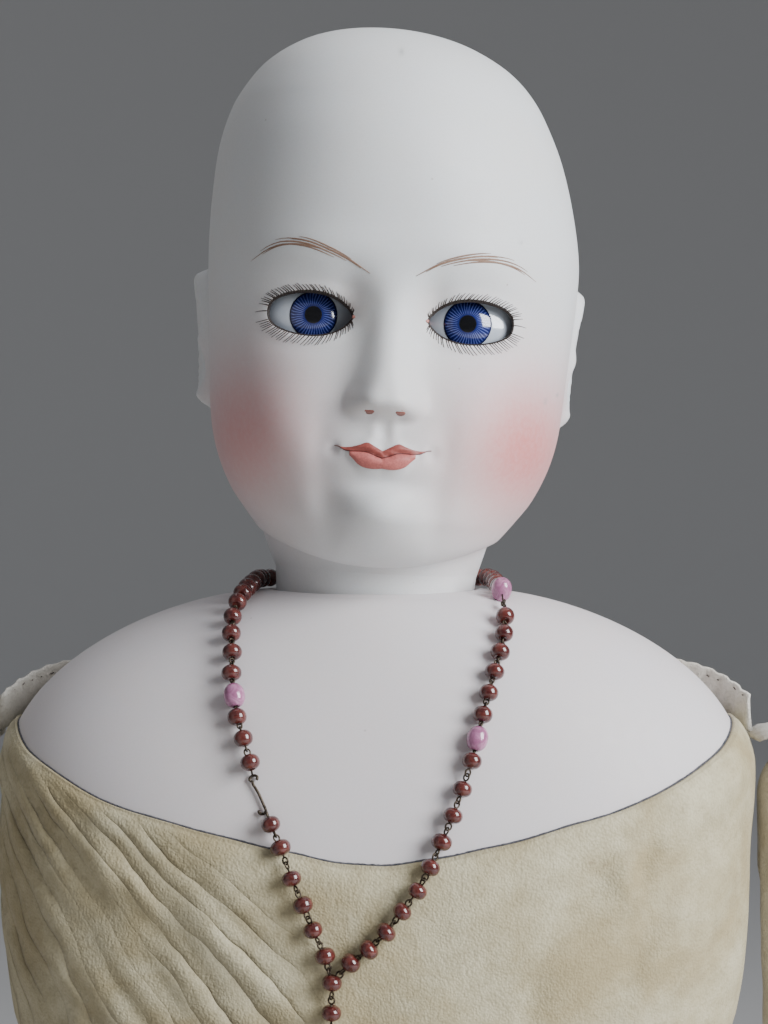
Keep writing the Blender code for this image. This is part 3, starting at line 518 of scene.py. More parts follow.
def head_points(angle, z, wall=0.0):
    """Points on the head at heights z above the jaw; wall moves them inwards."""
    sizes = (np.sqrt(np.maximum(smooth_table(HEAD_SQUARES, z, k), 1e-9)) - wall for k in (1, 2, 3))
    lean = smooth_table(HEAD_SECTIONS, z, 4)
    radius = superellipse(angle, *sizes, head_power(z))
    x = radius * np.sin(angle)
    y = -radius * np.cos(angle)
    if wall == 0.0:
        ahead = np.clip(2.0 * np.cos(angle), 0.0, 1.0)
        y = y - face_relief(x, z) * ahead
        x = x + (np.sign(x) - 0.22) * ear_relief(y, z) * np.abs(np.sin(angle)) ** 4
    return np.stack([x + lean, y, z + 0.0 * x], axis=-1)


def face_y(x, z):
    """Front surface of the face at (x, z), for pieces that lie on it."""
    half_width, front = (np.sqrt(smooth_table(HEAD_SQUARES, z, column)) for column in (1, 2))
    x = x - smooth_table(HEAD_SECTIONS, z, 4)
    power = head_power(z)
    base = front * np.clip(1.0 - np.abs(x / half_width) ** power, 0.0, 1.0) ** (1.0 / power)
    angle = np.arctan2(np.abs(x), base)
    return -base - face_relief(x, z) * np.clip(2.0 * np.cos(angle), 0.0, 1.0)


def jaw_points(angle, t, wall=0.0):
    """Points up the neck (t = 0), then out from the fold under the jaw to the face (t = 1)."""
    ahead = np.maximum(np.cos(angle), 0.0) ** 2
    low = 0.0112 - 0.0062 * ahead ** 1.1
    fold = polar(angle, 0.0239 - 0.0012 * ahead - wall, low + wall * (0.35 + 0.6 * ahead))
    fold[:, 0] -= 0.0006
    if t < NECK_SHARE:
        start = polar(angle, NECK_BALL_R + 0.0003 - wall, 0.0035)
        return start + (fold - start) * (t / NECK_SHARE)
    stop = head_points(angle, np.full_like(angle, JAW_Z), wall)
    rise = head_points(angle, np.full_like(angle, JAW_Z + 0.0010), wall) - stop
    rise /= np.linalg.norm(rise, axis=1)[:, None]
    first = polar(angle, 0.0241 + 0.0056 * ahead - wall, low - 0.0010 * ahead + wall * (0.35 + 0.6 * ahead))
    second = stop - rise * (0.0021 + 0.0033 * ahead)[:, None]
    t = (t - NECK_SHARE) / (1.0 - NECK_SHARE)
    s = 1.0 - t
    return fold * s ** 3 + first * 3 * s * s * t + second * 3 * s * t * t + stop * t ** 3


def head_rows(columns, wall, ball_rows, jaw_rows, heights):
    """Grid rows from the neck hole to just below the crown."""
    angle = front_angles(columns, 0.42)
    ball = NECK_BALL_R - wall
    rows = []
    for a in np.linspace(math.asin(NECK_HOLE_R / ball), 0.5 * math.pi, ball_rows):
        rows.append(polar(angle, ball * math.sin(a), -ball * math.cos(a)))
    for t in np.linspace(0.0, 1.0, jaw_rows, endpoint=False):
        rows.append(jaw_points(angle, t, wall))
    for z in heights:
        rows.append(head_points(angle, np.full(columns, z), wall))
    return rows


def crown_heights(low, count):
    """Heights that are level-spaced on the face and close up towards the crown."""
    t = np.arange(count) / count
    return low + (CROWN_Z - low) * np.sin(0.5 * math.pi * t) ** 0.94


def build_head():
    """Bisque head: outer skin with eye openings, and the crown opening and neck hole rounded over and turned
    a short way in.
    """
    columns = 336
    rows = head_rows(columns, 0.0, 26, 34, crown_heights(JAW_Z, 236))
    points = np.concatenate(rows)
    bm = bmesh.new()
    verts = [bm.verts.new(p) for p in points]
    for face in grid_faces(len(rows), columns):
        bm.faces.new([verts[i] for i in face])
    tip = bm.verts.new((HEAD_SECTIONS[-1, 4], 0.0, CROWN_Z))
    top = len(points) - columns
    for c in range(columns):
        bm.faces.new((verts[top + c], verts[top + (c + 1) % columns], tip))
    liner = bm.verts.layers.float.new("liner")
    for side, _ in SIDES:
        open_eye(bm, side, liner)
    normal = Vector((0.0, math.sin(CROWN_TILT), math.cos(CROWN_TILT)))
    place = SKULL_CENTRE + normal * CROWN_DISTANCE
    cut = bmesh.ops.bisect_plane(bm, geom=bm.verts[:] + bm.edges[:] + bm.faces[:], plane_co=place,
                                 plane_no=normal, clear_outer=True, dist=1e-6)
    rim = [e for e in cut["geom_cut"] if isinstance(e, bmesh.types.BMEdge)]
    turn_in(bm, rim, place, normal)
    hole = [e for e in bm.edges if e.is_boundary and all(v.co.z < -0.015 for v in e.verts)]
    turn_in(bm, hole, Vector((0.0, 0.0, 0.0)), Vector((0.0, 0.0, -1.0)))
    bmesh.ops.recalc_face_normals(bm, faces=bm.faces)
    mesh = bpy.data.meshes.new("head_bisque")
    bm.to_mesh(mesh)
    bm.free()
    mesh.materials.append(BISQUE_HEAD)
    mesh.shade_smooth()
    obj = add_object("head_bisque", mesh, HEAD)
    paint_head(obj)
    return obj


# Section of a rim that is rounded over: steps inwards and down
RIM_STEPS = (
    (0.0003, -0.00008), (0.0010, 0.0), (0.0010, 0.0), (0.0004, 0.0002), (0.0001, 0.0007), (0.0, 0.0030),
)


def turn_in(bm, edges, centre, normal):
    """Round an open rim over and take it down the inside of the wall."""
    for inward, down in RIM_STEPS:
        fresh = bmesh.ops.extrude_edge_only(bm, edges=edges)["geom"]
        edges = [e for e in fresh if isinstance(e, bmesh.types.BMEdge) and e.is_boundary]
        for v in {v for e in edges for v in e.verts}:
            away = v.co - centre
            flat = away - normal * away.dot(normal)
            v.co -= flat.normalized() * inward + normal * down


def border_loop(bm, side):
    """Points of the open border round one eye, in order from the outer corner."""
    neighbours = {}
    for e in bm.edges:
        a, b = e.verts
        if not e.is_boundary or a.co.x * side <= 0.0 or a.co.z <= 0.03:
            continue
        neighbours.setdefault(a, []).append(b)
        neighbours.setdefault(b, []).append(a)
    first = max(neighbours, key=lambda v: v.co.x * side)
    loop = [first]
    up = max(neighbours[first], key=lambda v: v.co.z)
    while up is not first:
        loop.append(up)
        up = next((v for v in neighbours[up] if v is not loop[-2]), first)
    return loop


# Rings from the face to the lid's edge, in millimetres out from the opening
LID_RINGS = (2.2, 1.8, 1.5, 1.25, 1.05, 0.9, 0.75, 0.62, 0.52, 0.44, 0.36, 0.28)
# Rings from the lid's edge down to the glass: millimetres out from the opening, and depth
THROAT_RINGS = ((0.17, 0.03), (0.08, 0.12), (0.02, 0.30), (0.0, 0.60), (0.1, 1.2), (0.6, 2.2), (1.6, 3.2))


def open_eye(bm, side, liner):
    """Cut one eye opening and model its lids down to the glass."""
    inside = []
    for face in bm.faces:
        c = face.calc_center_median()
        if c.y < 0.0 and ((c.x - side * EYE_X) / 0.0122) ** 2 + ((c.z - EYE_Z) / 0.0078) ** 2 < 1.0:
            inside.append(face)
    bmesh.ops.delete(bm, geom=inside, context="FACES")
    loop = border_loop(bm, side)
    edge = np.array([(side * v.co.x - EYE_X, v.co.z - EYE_Z) for v in loop])
    dense = np.linspace(-0.5, TAU + 0.5, 1400)
    away = eye_outline(dense, 0.0022)
    bearing = np.unwrap(np.arctan2(away[1], away[0]))
    phi = np.interp(np.unwrap(np.arctan2(edge[:, 1], edge[:, 0])), bearing, dense)
    near = eye_outline(phi, mm(LID_RINGS[0])).T
    lip = eye_outline(phi, mm(LID_RINGS[-1])).T
    light, black = np.zeros_like(phi), np.ones_like(phi)
    rings = []  # outline, how dark it is, the outline whose depth it takes, how far behind that
    for t in (0.2, 0.4, 0.6, 0.8):
        place = edge * (1.0 - t) + near * t
        rings.append((place, light, place, 0.0))
    for outward in LID_RINGS:
        place = eye_outline(phi, mm(outward)).T
        thick = 0.00046 + 0.00012 * np.sin(phi)
        dark = 1.0 - smoothstep(thick - 0.00006, thick + 0.00006, np.full_like(phi, mm(outward)))
        rings.append((place, dark, place, 0.0))
    for outward, depth in THROAT_RINGS:
        rings.append((eye_outline(phi, mm(outward) + 1e-7).T, black, lip, mm(depth)))
    previous = loop
    for place, dark, guide, depth in rings:
        x, z = side * (place[:, 0] + EYE_X), place[:, 1] + EYE_Z
        y = face_y(side * (guide[:, 0] + EYE_X), guide[:, 1] + EYE_Z) + depth
        ring = [bm.verts.new(p) for p in zip(x, y, z)]
        for k, v in enumerate(ring):
            v[liner] = float(dark[k])
            n = (k + 1) % len(ring)
            bm.faces.new((previous[k], previous[n], ring[n], v))
        previous = ring


# Small grey marks on the bisque: x, z, spread across, spread up, strength
SCUFFS = (
    (-0.0010, 0.1068, 0.0005, 0.0010, 0.55), (0.0318, 0.0400, 0.0004, 0.0004, 0.8),
    (0.0345, 0.0418, 0.0003, 0.0003, 0.7), (0.0245, 0.0702, 0.0003, 0.0003, 0.6),
)


def paint_head(obj):
    """Soft painted areas of the head, stored on its points."""
    count = len(obj.data.vertices)
    co = np.empty(count * 3)
    obj.data.vertices.foreach_get("co", co)
    x, y, z = co.reshape(-1, 3).T
    front = smoothstep(0.004, -0.010, y)
    blush = np.zeros(count)
    tint = np.zeros(count)
    for side in (-1.0, 1.0):
        # Blush paint on both cheeks. The difference between the sides is painted light: stronger on the +x
        # cheek, which faces the window light, and weaker on the shaded cheek.
        blush += hill(x, z, side * 0.0285, 0.0296, 0.0150, 0.0162, 0.80 + 0.12 * side)
        tint += hill(x, z, side * 0.0078, 0.0555, 0.0030, 0.0034, 0.22)
        tint += hill(x, z, side * 0.0150, 0.0590, 0.0080, 0.0016, 0.10)
    scuff = sum(hill(x, z, *mark) for mark in SCUFFS)
    attribute(obj, "blush", blush * front)
    attribute(obj, "tint", tint * front)
    attribute(obj, "scuff", scuff * front)


# ---------------------------------------------------------------- painted strokes and patches
# x and height of the brow's middle line at the left and at the right
BROW_LINE = np.array([
    (0.0044, 0.0617, 0.0617), (0.0085, 0.0640, 0.0640), (0.0125, 0.0652, 0.0656),
    (0.0170, 0.0659, 0.0669), (0.0215, 0.0658, 0.0671), (0.0248, 0.0649, 0.0660), (0.0281, 0.0630, 0.0637),
])

# start and stop along the brow, height offsets there, widest width
BROW_STROKES = (
    (0.00, 0.66, 0.0000, 0.0006, 0.00040), (0.08, 0.80, -0.0002, 0.0010, 0.00040),
    (0.20, 0.92, -0.0004, 0.0005, 0.00042), (0.30, 1.00, -0.0008, 0.0000, 0.00040),
    (0.38, 0.90, -0.0002, -0.0005, 0.00040), (0.16, 0.60, 0.0004, 0.0012, 0.00036),
)


def skin_y(x, z):
    """Front of the finished head at places (x, z), in the head's own frame."""
    x, z = np.broadcast_arrays(x, z)
    found = np.empty(x.size)
    for i, (px, pz) in enumerate(zip(x.ravel(), z.ravel())):
        hit = HEAD_TREE.ray_cast(Vector((px, -0.1, pz)), Vector((0.0, 1.0, 0.0)))[0]
        found[i] = hit.y if hit else float(face_y(px, pz))
    return found.reshape(x.shape)


def brush_strokes(name, strokes, material, proud=0.00011):
    """Raised brush strokes on the face, each a closed tapered ribbon through rows of x, z, width."""
    points, faces = [], []
    for stroke in strokes:
        x, z, width = np.asarray(stroke, float).T
        run = np.gradient(np.stack([x, z]), axis=1)
        run /= np.linalg.norm(run, axis=0)
        half = np.maximum(0.5 * width, 2e-5)
        base = len(points)
        sides = []
        for shift, lift in ((-1.0, 0.00001), (0.0, -proud), (1.0, 0.00001), (0.0, 0.00012)):
            at_x, at_z = x - run[1] * half * shift, z + run[0] * half * shift
            sides.append(np.stack([at_x, skin_y(at_x, at_z) + lift, at_z], axis=1))
        points.extend(np.stack(sides, axis=1).reshape(-1, 3))
        faces += grid_faces(len(x), 4, offset=base)
        end = base + 4 * (len(x) - 1)
        faces += [(base + 3, base + 2, base + 1, base), (end, end + 1, end + 2, end + 3)]
    return face_outward(add_mesh(name, points, faces, material, matrix=HEAD))


def paint_patch(name, x, z, material, proud=0.00013):
    """Closed thin layer of paint over a grid of (x, z) places on the face."""
    rows, columns = x.shape
    skin = skin_y(x, z)
    front = np.stack([x, skin - proud, z], axis=-1).reshape(-1, 3)
    back = np.stack([x, skin + 0.0003, z], axis=-1).reshape(-1, 3)
    count = rows * columns
    faces = grid_faces(rows, columns, closed=False)
    faces += [tuple(count + i for i in face[::-1]) for face in faces]
    grid = np.arange(count).reshape(rows, columns)
    rim = [*grid[0], *grid[1:, -1], *grid[-1, -2::-1], *grid[-2:0:-1, 0]]
    faces += [(a, b, b + count, a + count) for a, b in zip(rim, rim[1:] + rim[:1])]
    return face_outward(add_mesh(name, np.concatenate([front, back]), faces, material, matrix=HEAD))


# Seed, first and last angle round the lid, count, distance out from the opening, length, lean
UPPER_LASHES = (11, 12.0, 168.0, 37, 0.00030, 0.80, 0.75)
LOWER_LASHES = (12, -14.0, -166.0, 35, 0.00020, 1.02, 0.70)


def lash_strokes(side, upper):
    """Lashes painted along one lid, swept towards the temple."""
    seed, first, last, count, outward, scale, lean = UPPER_LASHES if upper else LOWER_LASHES
    rng = np.random.default_rng(seed)
    strokes = []
    for degrees in np.linspace(first, last, count):
        phi = math.radians(degrees + rng.uniform(-1.2, 1.2))
        root = eye_outline(phi, outward)
        normal = eye_outline(phi, outward + 0.001) - root
        normal /= np.linalg.norm(normal)
        inner = smoothstep(0.2, 1.0, -math.cos(phi))
        course = normal + np.array([lean * (1.0 - 0.45 * inner), 0.0])
        course /= np.linalg.norm(course)
        length = scale * (0.00225 - 0.00080 * inner) * rng.uniform(0.86, 1.12)
        rows = []
        for t in (0.0, 0.25, 0.5, 0.75, 1.0):
            place = root + course * length * t + np.array([0.00030, 0.0]) * t * t
            rows.append((side * (EYE_X + place[0]), EYE_Z + place[1], 0.00030 * (1.0 - 0.70 * t)))
        strokes.append(rows)
    return strokes


def corner_stroke(side):
    """The longer line that carries the lids' corner outwards."""
    t = np.linspace(0.0, 1.0, 6)
    x = side * (EYE_X + (EYE_HALF_WIDTH + 0.0002 + 0.0027 * t))
    z = EYE_Z + 0.0003 + 0.0002 * t - 0.0004 * t * t
    return np.stack([x, z, 0.00030 * (1.0 - 0.75 * t)], axis=1)


def brow_strokes(side):
    """Fine overlapping strokes along one brow."""
    strokes = []
    low, high = BROW_LINE[0, 0], BROW_LINE[-1, 0]
    for start, stop, rise_in, rise_out, width in BROW_STROKES:
        t = np.linspace(0.0, 1.0, 14)
        x = low + (high - low) * (start + (stop - start) * t)
        z = smooth_table(BROW_LINE, x, 1 if side > 0.0 else 2) + rise_in + (rise_out - rise_in) * t
        strokes.append(np.stack([side * x, z, width * np.sin(math.pi * (0.06 + 0.9 * t)) ** 0.8], axis=1))
    return strokes


def dab(x, z, length, width):
    """Short round dab of paint."""
    t = np.linspace(-1.0, 1.0, 7)
    return np.stack([x + 0.5 * length * t, z + 0.0 * t, width * np.sqrt(1.02 - t * t)], axis=1)


UPPER_LIP_HALF = 0.0086
LOWER_LIP_HALF = 0.0064
PARTING_HALF = 0.0094
THIN_LIP = 0.00004


def build_paint():
    """Lashes, brows, lips, nostril and eye-corner dots, all riding on the head."""
    made = []
    for side, word in SIDES:
        lashes = lash_strokes(side, True) + lash_strokes(side, False) + [corner_stroke(side)]
        made.append(brush_strokes(word + "_lashes", lashes, LASH))
        made.append(brush_strokes(word + "_brow", brow_strokes(side), BROW))
    up = np.linspace(0.0, 1.0, 9)[:, None]
    across = np.linspace(-1.0, 1.0, 61) + 0.0 * up
    x = UPPER_LIP_HALF * across
    top, line, _ = lip_lines(x)
    top = np.maximum(top, line + THIN_LIP)
    made.append(paint_patch("upper_lip", x, line + (top - line) * up, UPPER_LIP))
    x = LOWER_LIP_HALF * across
    _, line, bottom = lip_lines(x)
    bottom = np.minimum(bottom, line - THIN_LIP)
    made.append(paint_patch("lower_lip", x, bottom + (line - bottom) * up, LOWER_LIP))
    t = np.linspace(-1.0, 1.0, 41)
    x = PARTING_HALF * t
    line = lip_lines(x)[1] + 0.00012 * np.abs(t) ** 6
    width = 0.00014 + 0.00030 * (1.0 - np.abs(t) ** 2.2)
    made.append(brush_strokes("parting_line", [np.stack([x, line, width], axis=1)], LIP_LINE, 0.00034))
    dabs = [dab(side * 0.0030, 0.0352, 0.0019, 0.0011) for side in (-1.0, 1.0)]
    made.append(brush_strokes("nostril_dots", dabs, NOSTRIL, 0.00016))
    inner_corner = EYE_X - EYE_HALF_WIDTH - 0.0003
    dabs = [dab(side * inner_corner, EYE_Z - 0.0002, 0.0009, 0.0007) for side in (-1.0, 1.0)]
    made.append(brush_strokes("eye_corner_dots", dabs, EYE_DOT))
    for piece in made:
        settle(piece, "head", "bisque")


# ---------------------------------------------------------------- glass eyes
IRIS_X = 0.0151
IRIS_R = 0.0047
IRIS_THREADS = 42.0
GLOBE_CENTRE = Vector((0.0146, -0.0279, EYE_Z))
GLOBE_AXES = Vector((0.0122, 0.0082, 0.0104))


def eye_glass(n, colour, roughness):
    """Glass of the eyes: a coloured body under a clear, polished coat."""
    return n.set(
        Base_Color=colour,
        Roughness=roughness,
        Specular_IOR_Level=0.5,
        Coat_Weight=1.0,
        Coat_Roughness=0.03,
    )


def sclera_material():
    """White of the eye, slightly clouded."""
    n = Nodes("white_glass")
    cloud = n.ramp(n.noise(260.0, 3.0, 0.5), 0.3, 0.75)
    return eye_glass(n, n.mix(cloud, (0.47, 0.52, 0.60), (0.56, 0.59, 0.64)), 0.12)


def iris_material():
    """Cobalt ground with lighter wavy threads running out from a black pupil."""
    n = Nodes("threaded_iris")
    x, _, z = n.split()
    radius = n.math("SQRT", n.math("ADD", n.product(x, x), n.product(z, z)))
    r = n.math("DIVIDE", radius, IRIS_R)
    turn = n.product(n.math("ARCTAN2", z, x), IRIS_THREADS)
    wobble = n.product(n.noise(420.0, 1.0, 0.5), 7.0)
    curl = n.product(n.math("POWER", r, 1.4), 5.0)
    threads = n.math("SINE", n.math("ADD", turn, n.math("ADD", wobble, curl)))
    broken = n.ramp(n.noise(700.0, 2.0, 0.6), 0.30, 0.62, 0.55, 1.0)
    window = n.product(n.ramp(r, 0.36, 0.50), n.ramp(r, 0.86, 0.97, 1.0, 0.0))
    thread = n.product(n.ramp(threads, 0.20, 0.95), window, broken)
    ground = n.mix(n.ramp(r, 0.40, 0.95), (0.008, 0.014, 0.115), (0.007, 0.012, 0.095))
    colour = n.mix(thread, ground, (0.120, 0.160, 0.47))
    colour = n.mix(n.ramp(r, 0.93, 0.995), colour, (0.005, 0.008, 0.040))
    pupil = n.ramp(r, 0.345, 0.375, 1.0, 0.0)
    return eye_glass(n, n.mix(pupil, colour, (0.002, 0.002, 0.003)), 0.15)


def build_eyes():
    """Each eye's white globe, and its iris with the clear dome, which share the globe's front."""
    rows, iris_rows, columns = 40, 24, 72
    turn = full_turn(columns)
    down = np.linspace(0.02, math.pi - 0.02, rows)[:, None]
    wide = np.sin(down)
    ball = np.stack([wide * np.cos(turn), -np.cos(down) + 0.0 * turn, wide * np.sin(turn)], axis=-1)
    for side, word in SIDES:
        centre = mirrored(GLOBE_CENTRE, side)
        points = (ball * np.array(GLOBE_AXES)).reshape(-1, 3)
        globe = add_mesh(word + "_glass_globe", points, capped_faces(rows, columns), SCLERA,
                         HEAD @ Matrix.Translation(centre))
        settle(face_outward(globe), "head", "white_glass", word + "_eye_globe")
        middle = Vector((side * IRIS_X, GLOBE_CENTRE.y, GLOBE_CENTRE.z))
        shift = middle.x - centre.x
        r = np.linspace(0.0005, 1.0, iris_rows)[:, None] * IRIS_R
        x, z = r * np.cos(turn), r * np.sin(turn)
        inside = 1.0 - ((x + shift) / GLOBE_AXES.x) ** 2 - (z / GLOBE_AXES.z) ** 2
        skin = -GLOBE_AXES.y * np.sqrt(inside)
        front = np.stack([x, skin - 0.00004 - 0.00060 * (1.0 - (r / IRIS_R) ** 2) ** 0.8, z], -1)
        back = np.stack([x, skin + 0.0004, z], -1)
        points = np.concatenate([front, back[::-1]]).reshape(-1, 3)
        iris = add_mesh(word + "_threaded_iris", points, capped_faces(2 * iris_rows, columns), IRIS,
                        HEAD @ Matrix.Translation(middle))
        settle(face_outward(iris), "head", "cobalt_glass", word + "_eye_iris", word + "_eye_crystal")


SCLERA = sclera_material()
IRIS = iris_material()
# Both lips wear one coral paint; the upper lip's darker copy of it is painted shade.
UPPER_LIP = flat_paint("upper_lip_coral_painted_shade", (0.27, 0.060, 0.048), 0.46)
LOWER_LIP = flat_paint("lower_lip_coral", (0.43, 0.120, 0.105), 0.44)
LIP_LINE = flat_paint("lip_line", (0.11, 0.020, 0.016), 0.45)
NOSTRIL = flat_paint("nostril_red", (0.27, 0.095, 0.070), 0.5)
EYE_DOT = flat_paint("eye_corner_red", (0.48, 0.20, 0.165), 0.4)


# ---------------------------------------------------------------- shoulder plate and kid body
CUP_R = 0.02175
PLATE_HALF_WIDTH = 0.0770
PLATE_FRONT = 0.0420
PLATE_BACK = 0.0360
PLATE_EDGE_Z = (0.2240, 0.2470, 0.2280)      # front, side, back
RIM_SIDE_Z = 0.2838
RIM_FRONT_Z = 0.2826
BODY_POWER = 2.3
KID = 0.0013
GLUE = 0.0007
LEATHER_TOP = (0.900, 0.800, 0.860)          # cut edge on the plate: front, side, back
# Front cut edge: 0 at the middle to 1 at the side, fraction from the plate's rim to its edge
LEATHER_EDGE = np.array([
    (0.0, 0.900), (0.35, 0.905), (0.70, 0.923), (0.86, 0.930), (0.96, 0.870), (1.0, 0.800),
])
# z, half width, front depth, back depth
TORSO_SECTIONS = np.array([
    (0.0000, 0.0470, 0.0370, 0.0370), (0.0040, 0.0550, 0.0405, 0.0405), (0.0200, 0.0615, 0.0430, 0.0435),
    (0.0400, 0.0625, 0.0430, 0.0440), (0.0700, 0.0580, 0.0410, 0.0410), (0.1000, 0.0480, 0.0360, 0.0335),
    (0.1250, 0.0425, 0.0320, 0.0290), (0.1500, 0.0500, 0.0345, 0.0305), (0.1800, 0.0690, 0.0395, 0.0340),
    (0.2000, 0.0765, 0.0422, 0.0360), (0.2150, 0.0780, 0.0434, 0.0370),
])
HIP = Vector((0.0330, -0.0360, 0.0320))
HIP_R = 0.0262
SOCKET_PLAY = 0.0006

# Folds of the glued leather: start x, z, stop x, z, width, height; negative heights are grooves
FOLDS = (
    (-0.056, 0.236, -0.044, 0.222, 0.0036, 0.0014), (-0.051, 0.229, -0.040, 0.216, 0.0018, -0.0009),
    (-0.034, 0.222, -0.008, 0.200, 0.0030, 0.0006), (-0.074, 0.216, -0.050, 0.196, 0.0016, -0.0009),
    (0.073, 0.247, 0.046, 0.222, 0.0044, 0.0010), (0.067, 0.236, 0.050, 0.206, 0.0034, -0.0009),
    (0.0555, 0.2345, 0.0520, 0.2265, 0.0020, -0.0016), (0.0500, 0.2340, 0.0480, 0.2260, 0.0030, 0.0010),
    (0.040, 0.222, 0.010, 0.206, 0.0036, 0.0006), (0.062, 0.222, 0.050, 0.195, 0.0032, 0.0009),
    (0.034, 0.214, 0.030, 0.196, 0.0030, -0.0005), (0.073, 0.222, 0.064, 0.190, 0.0024, -0.0008),
    (0.012, 0.218, -0.006, 0.196, 0.0040, -0.0004),
)
FAN_PLACE = (-0.104, 0.292)                  # the folds at the right shoulder spread from here
FAN_FOLDS = 92.0


def blend_round(angle, front, side, back):
    """Value that goes smoothly from front to side to back."""
    c = np.cos(angle)
    return side + (np.where(c >= 0.0, front, back) - side) * np.abs(c) ** 1.6


def plate_points(angle, s, offset=0.0):
    """Outer face of the shoulder plate, from 0 at the neck rim to 1 at the edge."""
    def raw(a, t):
        rim_r = CUP_R + 0.0009
        rim_z = RIM_SIDE_Z + (RIM_FRONT_Z - RIM_SIDE_Z) * np.maximum(0.0, np.cos(a)) ** 2
        edge_r = superellipse(a, PLATE_HALF_WIDTH, PLATE_FRONT, PLATE_BACK, BODY_POWER)
        quarter = 0.5 * math.pi * t
        radius = rim_r + (edge_r - rim_r) * np.sin(quarter)
        drop = np.maximum(1.0 - np.cos(quarter), 0.0) ** 0.85
        return polar(a, radius, rim_z - (rim_z - blend_round(a, *PLATE_EDGE_Z)) * drop)

    s = s + 0.0 * angle
    points = raw(angle, s)
    if offset:
        along = raw(angle, np.minimum(s + 0.01, 1.0)) - raw(angle, np.maximum(s - 0.01, 0.0))
        across = raw(angle + 0.01, s) - raw(angle - 0.01, s)
        out = np.cross(along, across)
        points = points + out / np.linalg.norm(out, axis=1)[:, None] * offset
    return points


def cup_ring(angle, radius, degrees):
    """Ring on a ball about the neck pivot, measured up from straight down."""
    a = math.radians(degrees)
    return polar(angle, radius * math.sin(a), NECK_PIVOT.z - radius * math.cos(a))


def build_plate():
    """Bisque shoulder plate: cup, rolled rim, chest and shoulders, and its inside."""
    angle = front_angles(240, 0.3)
    rows = [cup_ring(angle, CUP_R, d) for d in np.linspace(13.5, 86.5, 26)]
    rim = plate_points(angle, 0.0)
    rows.append(cup_ring(angle, CUP_R, 88.2) + np.array((0.0, 0.0, 0.0001)))
    rows.append(0.5 * (rows[-1] + rim) + np.array((0.0, 0.0, 0.0003)))
    rows += [plate_points(angle, s) for s in np.linspace(0.0, 1.0, 72)[1:]]
    rows += [plate_points(angle, s, -BISQUE) for s in np.linspace(1.0, 0.36, 14)]
    rows += [cup_ring(angle, CUP_R + BISQUE, d) for d in (52.0, 44.0, 36.0, 28.0, 20.0, 11.8)]
    faces = looped_faces(len(rows), len(angle))
    plate = face_outward(add_mesh("plate_bisque", np.concatenate(rows), faces, BISQUE_PLATE))
    return settle(plate, "torso", "bisque", "shoulder_plate")


def torso_ring(angle, z, inset):
    sizes = (smooth_table(TORSO_SECTIONS, z, column) - inset for column in (1, 2, 3))
    return polar(angle, superellipse(angle, *sizes, BODY_POWER), z)


def clear_recess(points, centre, radius):
    """Keep points out of the quarter, from forward to down, that a joint's round end turns in."""
    rise = np.clip(points[..., 2] - centre.z, 0.0, radius)
    limit = centre.y + np.sqrt(np.maximum(radius ** 2 - rise ** 2, 0.0))
    limit = np.where(points[..., 2] > centre.z + radius, -1.0, limit)
    points[..., 1] = np.maximum(points[..., 1], limit)
    return points


def body_ring(angle, z, inset, scale=1.0):
    """Ring of the kid body, clear of the recess that the thighs turn in."""
    ring = torso_ring(angle, z, inset) * np.array((scale, scale, 1.0))
    return clear_recess(ring, HIP, HIP_R + SOCKET_PLAY + inset)


def fold_height(x, z):
    """Drag folds of the leather over the chest: a fan from the right shoulder, and single ones."""
    total = np.zeros_like(x)
    for x0, z0, x1, z1, width, height in FOLDS:
        run_x, run_z = x1 - x0, z1 - z0
        length = math.hypot(run_x, run_z)
        t = ((x - x0) * run_x + (z - z0) * run_z) / length ** 2
        bend = 0.06 * length * np.sin(math.pi * np.clip(t, 0.0, 1.0))
        side = ((x - x0) * run_z - (z - z0) * run_x) / length - bend
        beyond = np.maximum(np.maximum(-t, t - 1.0), 0.0) * length
        fade = np.sin(math.pi * np.clip(0.12 + 0.76 * t, 0.0, 1.0)) ** 0.7
        total += height * fade * np.exp(-(side / width) ** 2 - (beyond / (1.5 * width)) ** 2)
    bearing, away = fan_bearing(x, z)
    flat = np.stack([x, z, 0.0 * x], axis=-1).reshape(-1, 3)
    sway = ripple(flat, 30.0, 4.0).reshape(x.shape)
    strength = 0.6 + 0.8 * ripple(flat, 48.0, 6.0).reshape(x.shape)
    wave = np.abs(np.sin(0.5 * (0.8 * FAN_FOLDS * bearing + 6.0 * sway + 20.0 * away)))
    return total + 0.0013 * fan_mask(x, z, bearing) * np.clip(strength, 0.15, 1.3) * (wave ** 0.60 - 0.74)


def fan_bearing(x, z):
    """Angle and distance from the place that the drag folds spread from."""
    right, down = x - FAN_PLACE[0], FAN_PLACE[1] - z
    return np.arctan2(down, right), np.hypot(right, down)


def fan_mask(x, z, bearing):
    """How strong the drag folds are at (x, z)."""
    return smoothstep(0.62, 0.80, bearing) * smoothstep(0.004, -0.030, x) * smoothstep(0.262, 0.240, z)


def ripple(points, scale, seed):
    """Smooth random height for every point, about -0.5 to 0.5."""
    shift = Vector((seed * 3.1, seed * 1.7, seed * 2.3))
    return np.array([noise.noise(Vector(p) * scale + shift) for p in points])


def push_out(rows, heights):
    """Move every point of a closed grid along the grid's own normal."""
    around = np.roll(rows, -1, axis=1) - np.roll(rows, 1, axis=1)
    along = np.gradient(rows, axis=0)
    out = np.cross(around, along)
    out /= np.maximum(np.linalg.norm(out, axis=2), 1e-12)[:, :, None]
    return rows + out * heights[:, :, None]


def cut_edge(angle):
    """Hand-cut top edge of the leather, a little wavy."""
    wave = 0.0030 * np.sin(3.0 * angle + 0.6) + 0.0022 * np.sin(8.0 * angle + 1.9)
    wave = wave + 0.0010 * np.sin(23.0 * angle)
    front = smooth_table(LEATHER_EDGE, np.abs(np.sin(angle)), 1)
    return np.where(np.cos(angle) >= 0.0, front, blend_round(angle, *LEATHER_TOP)) + wave


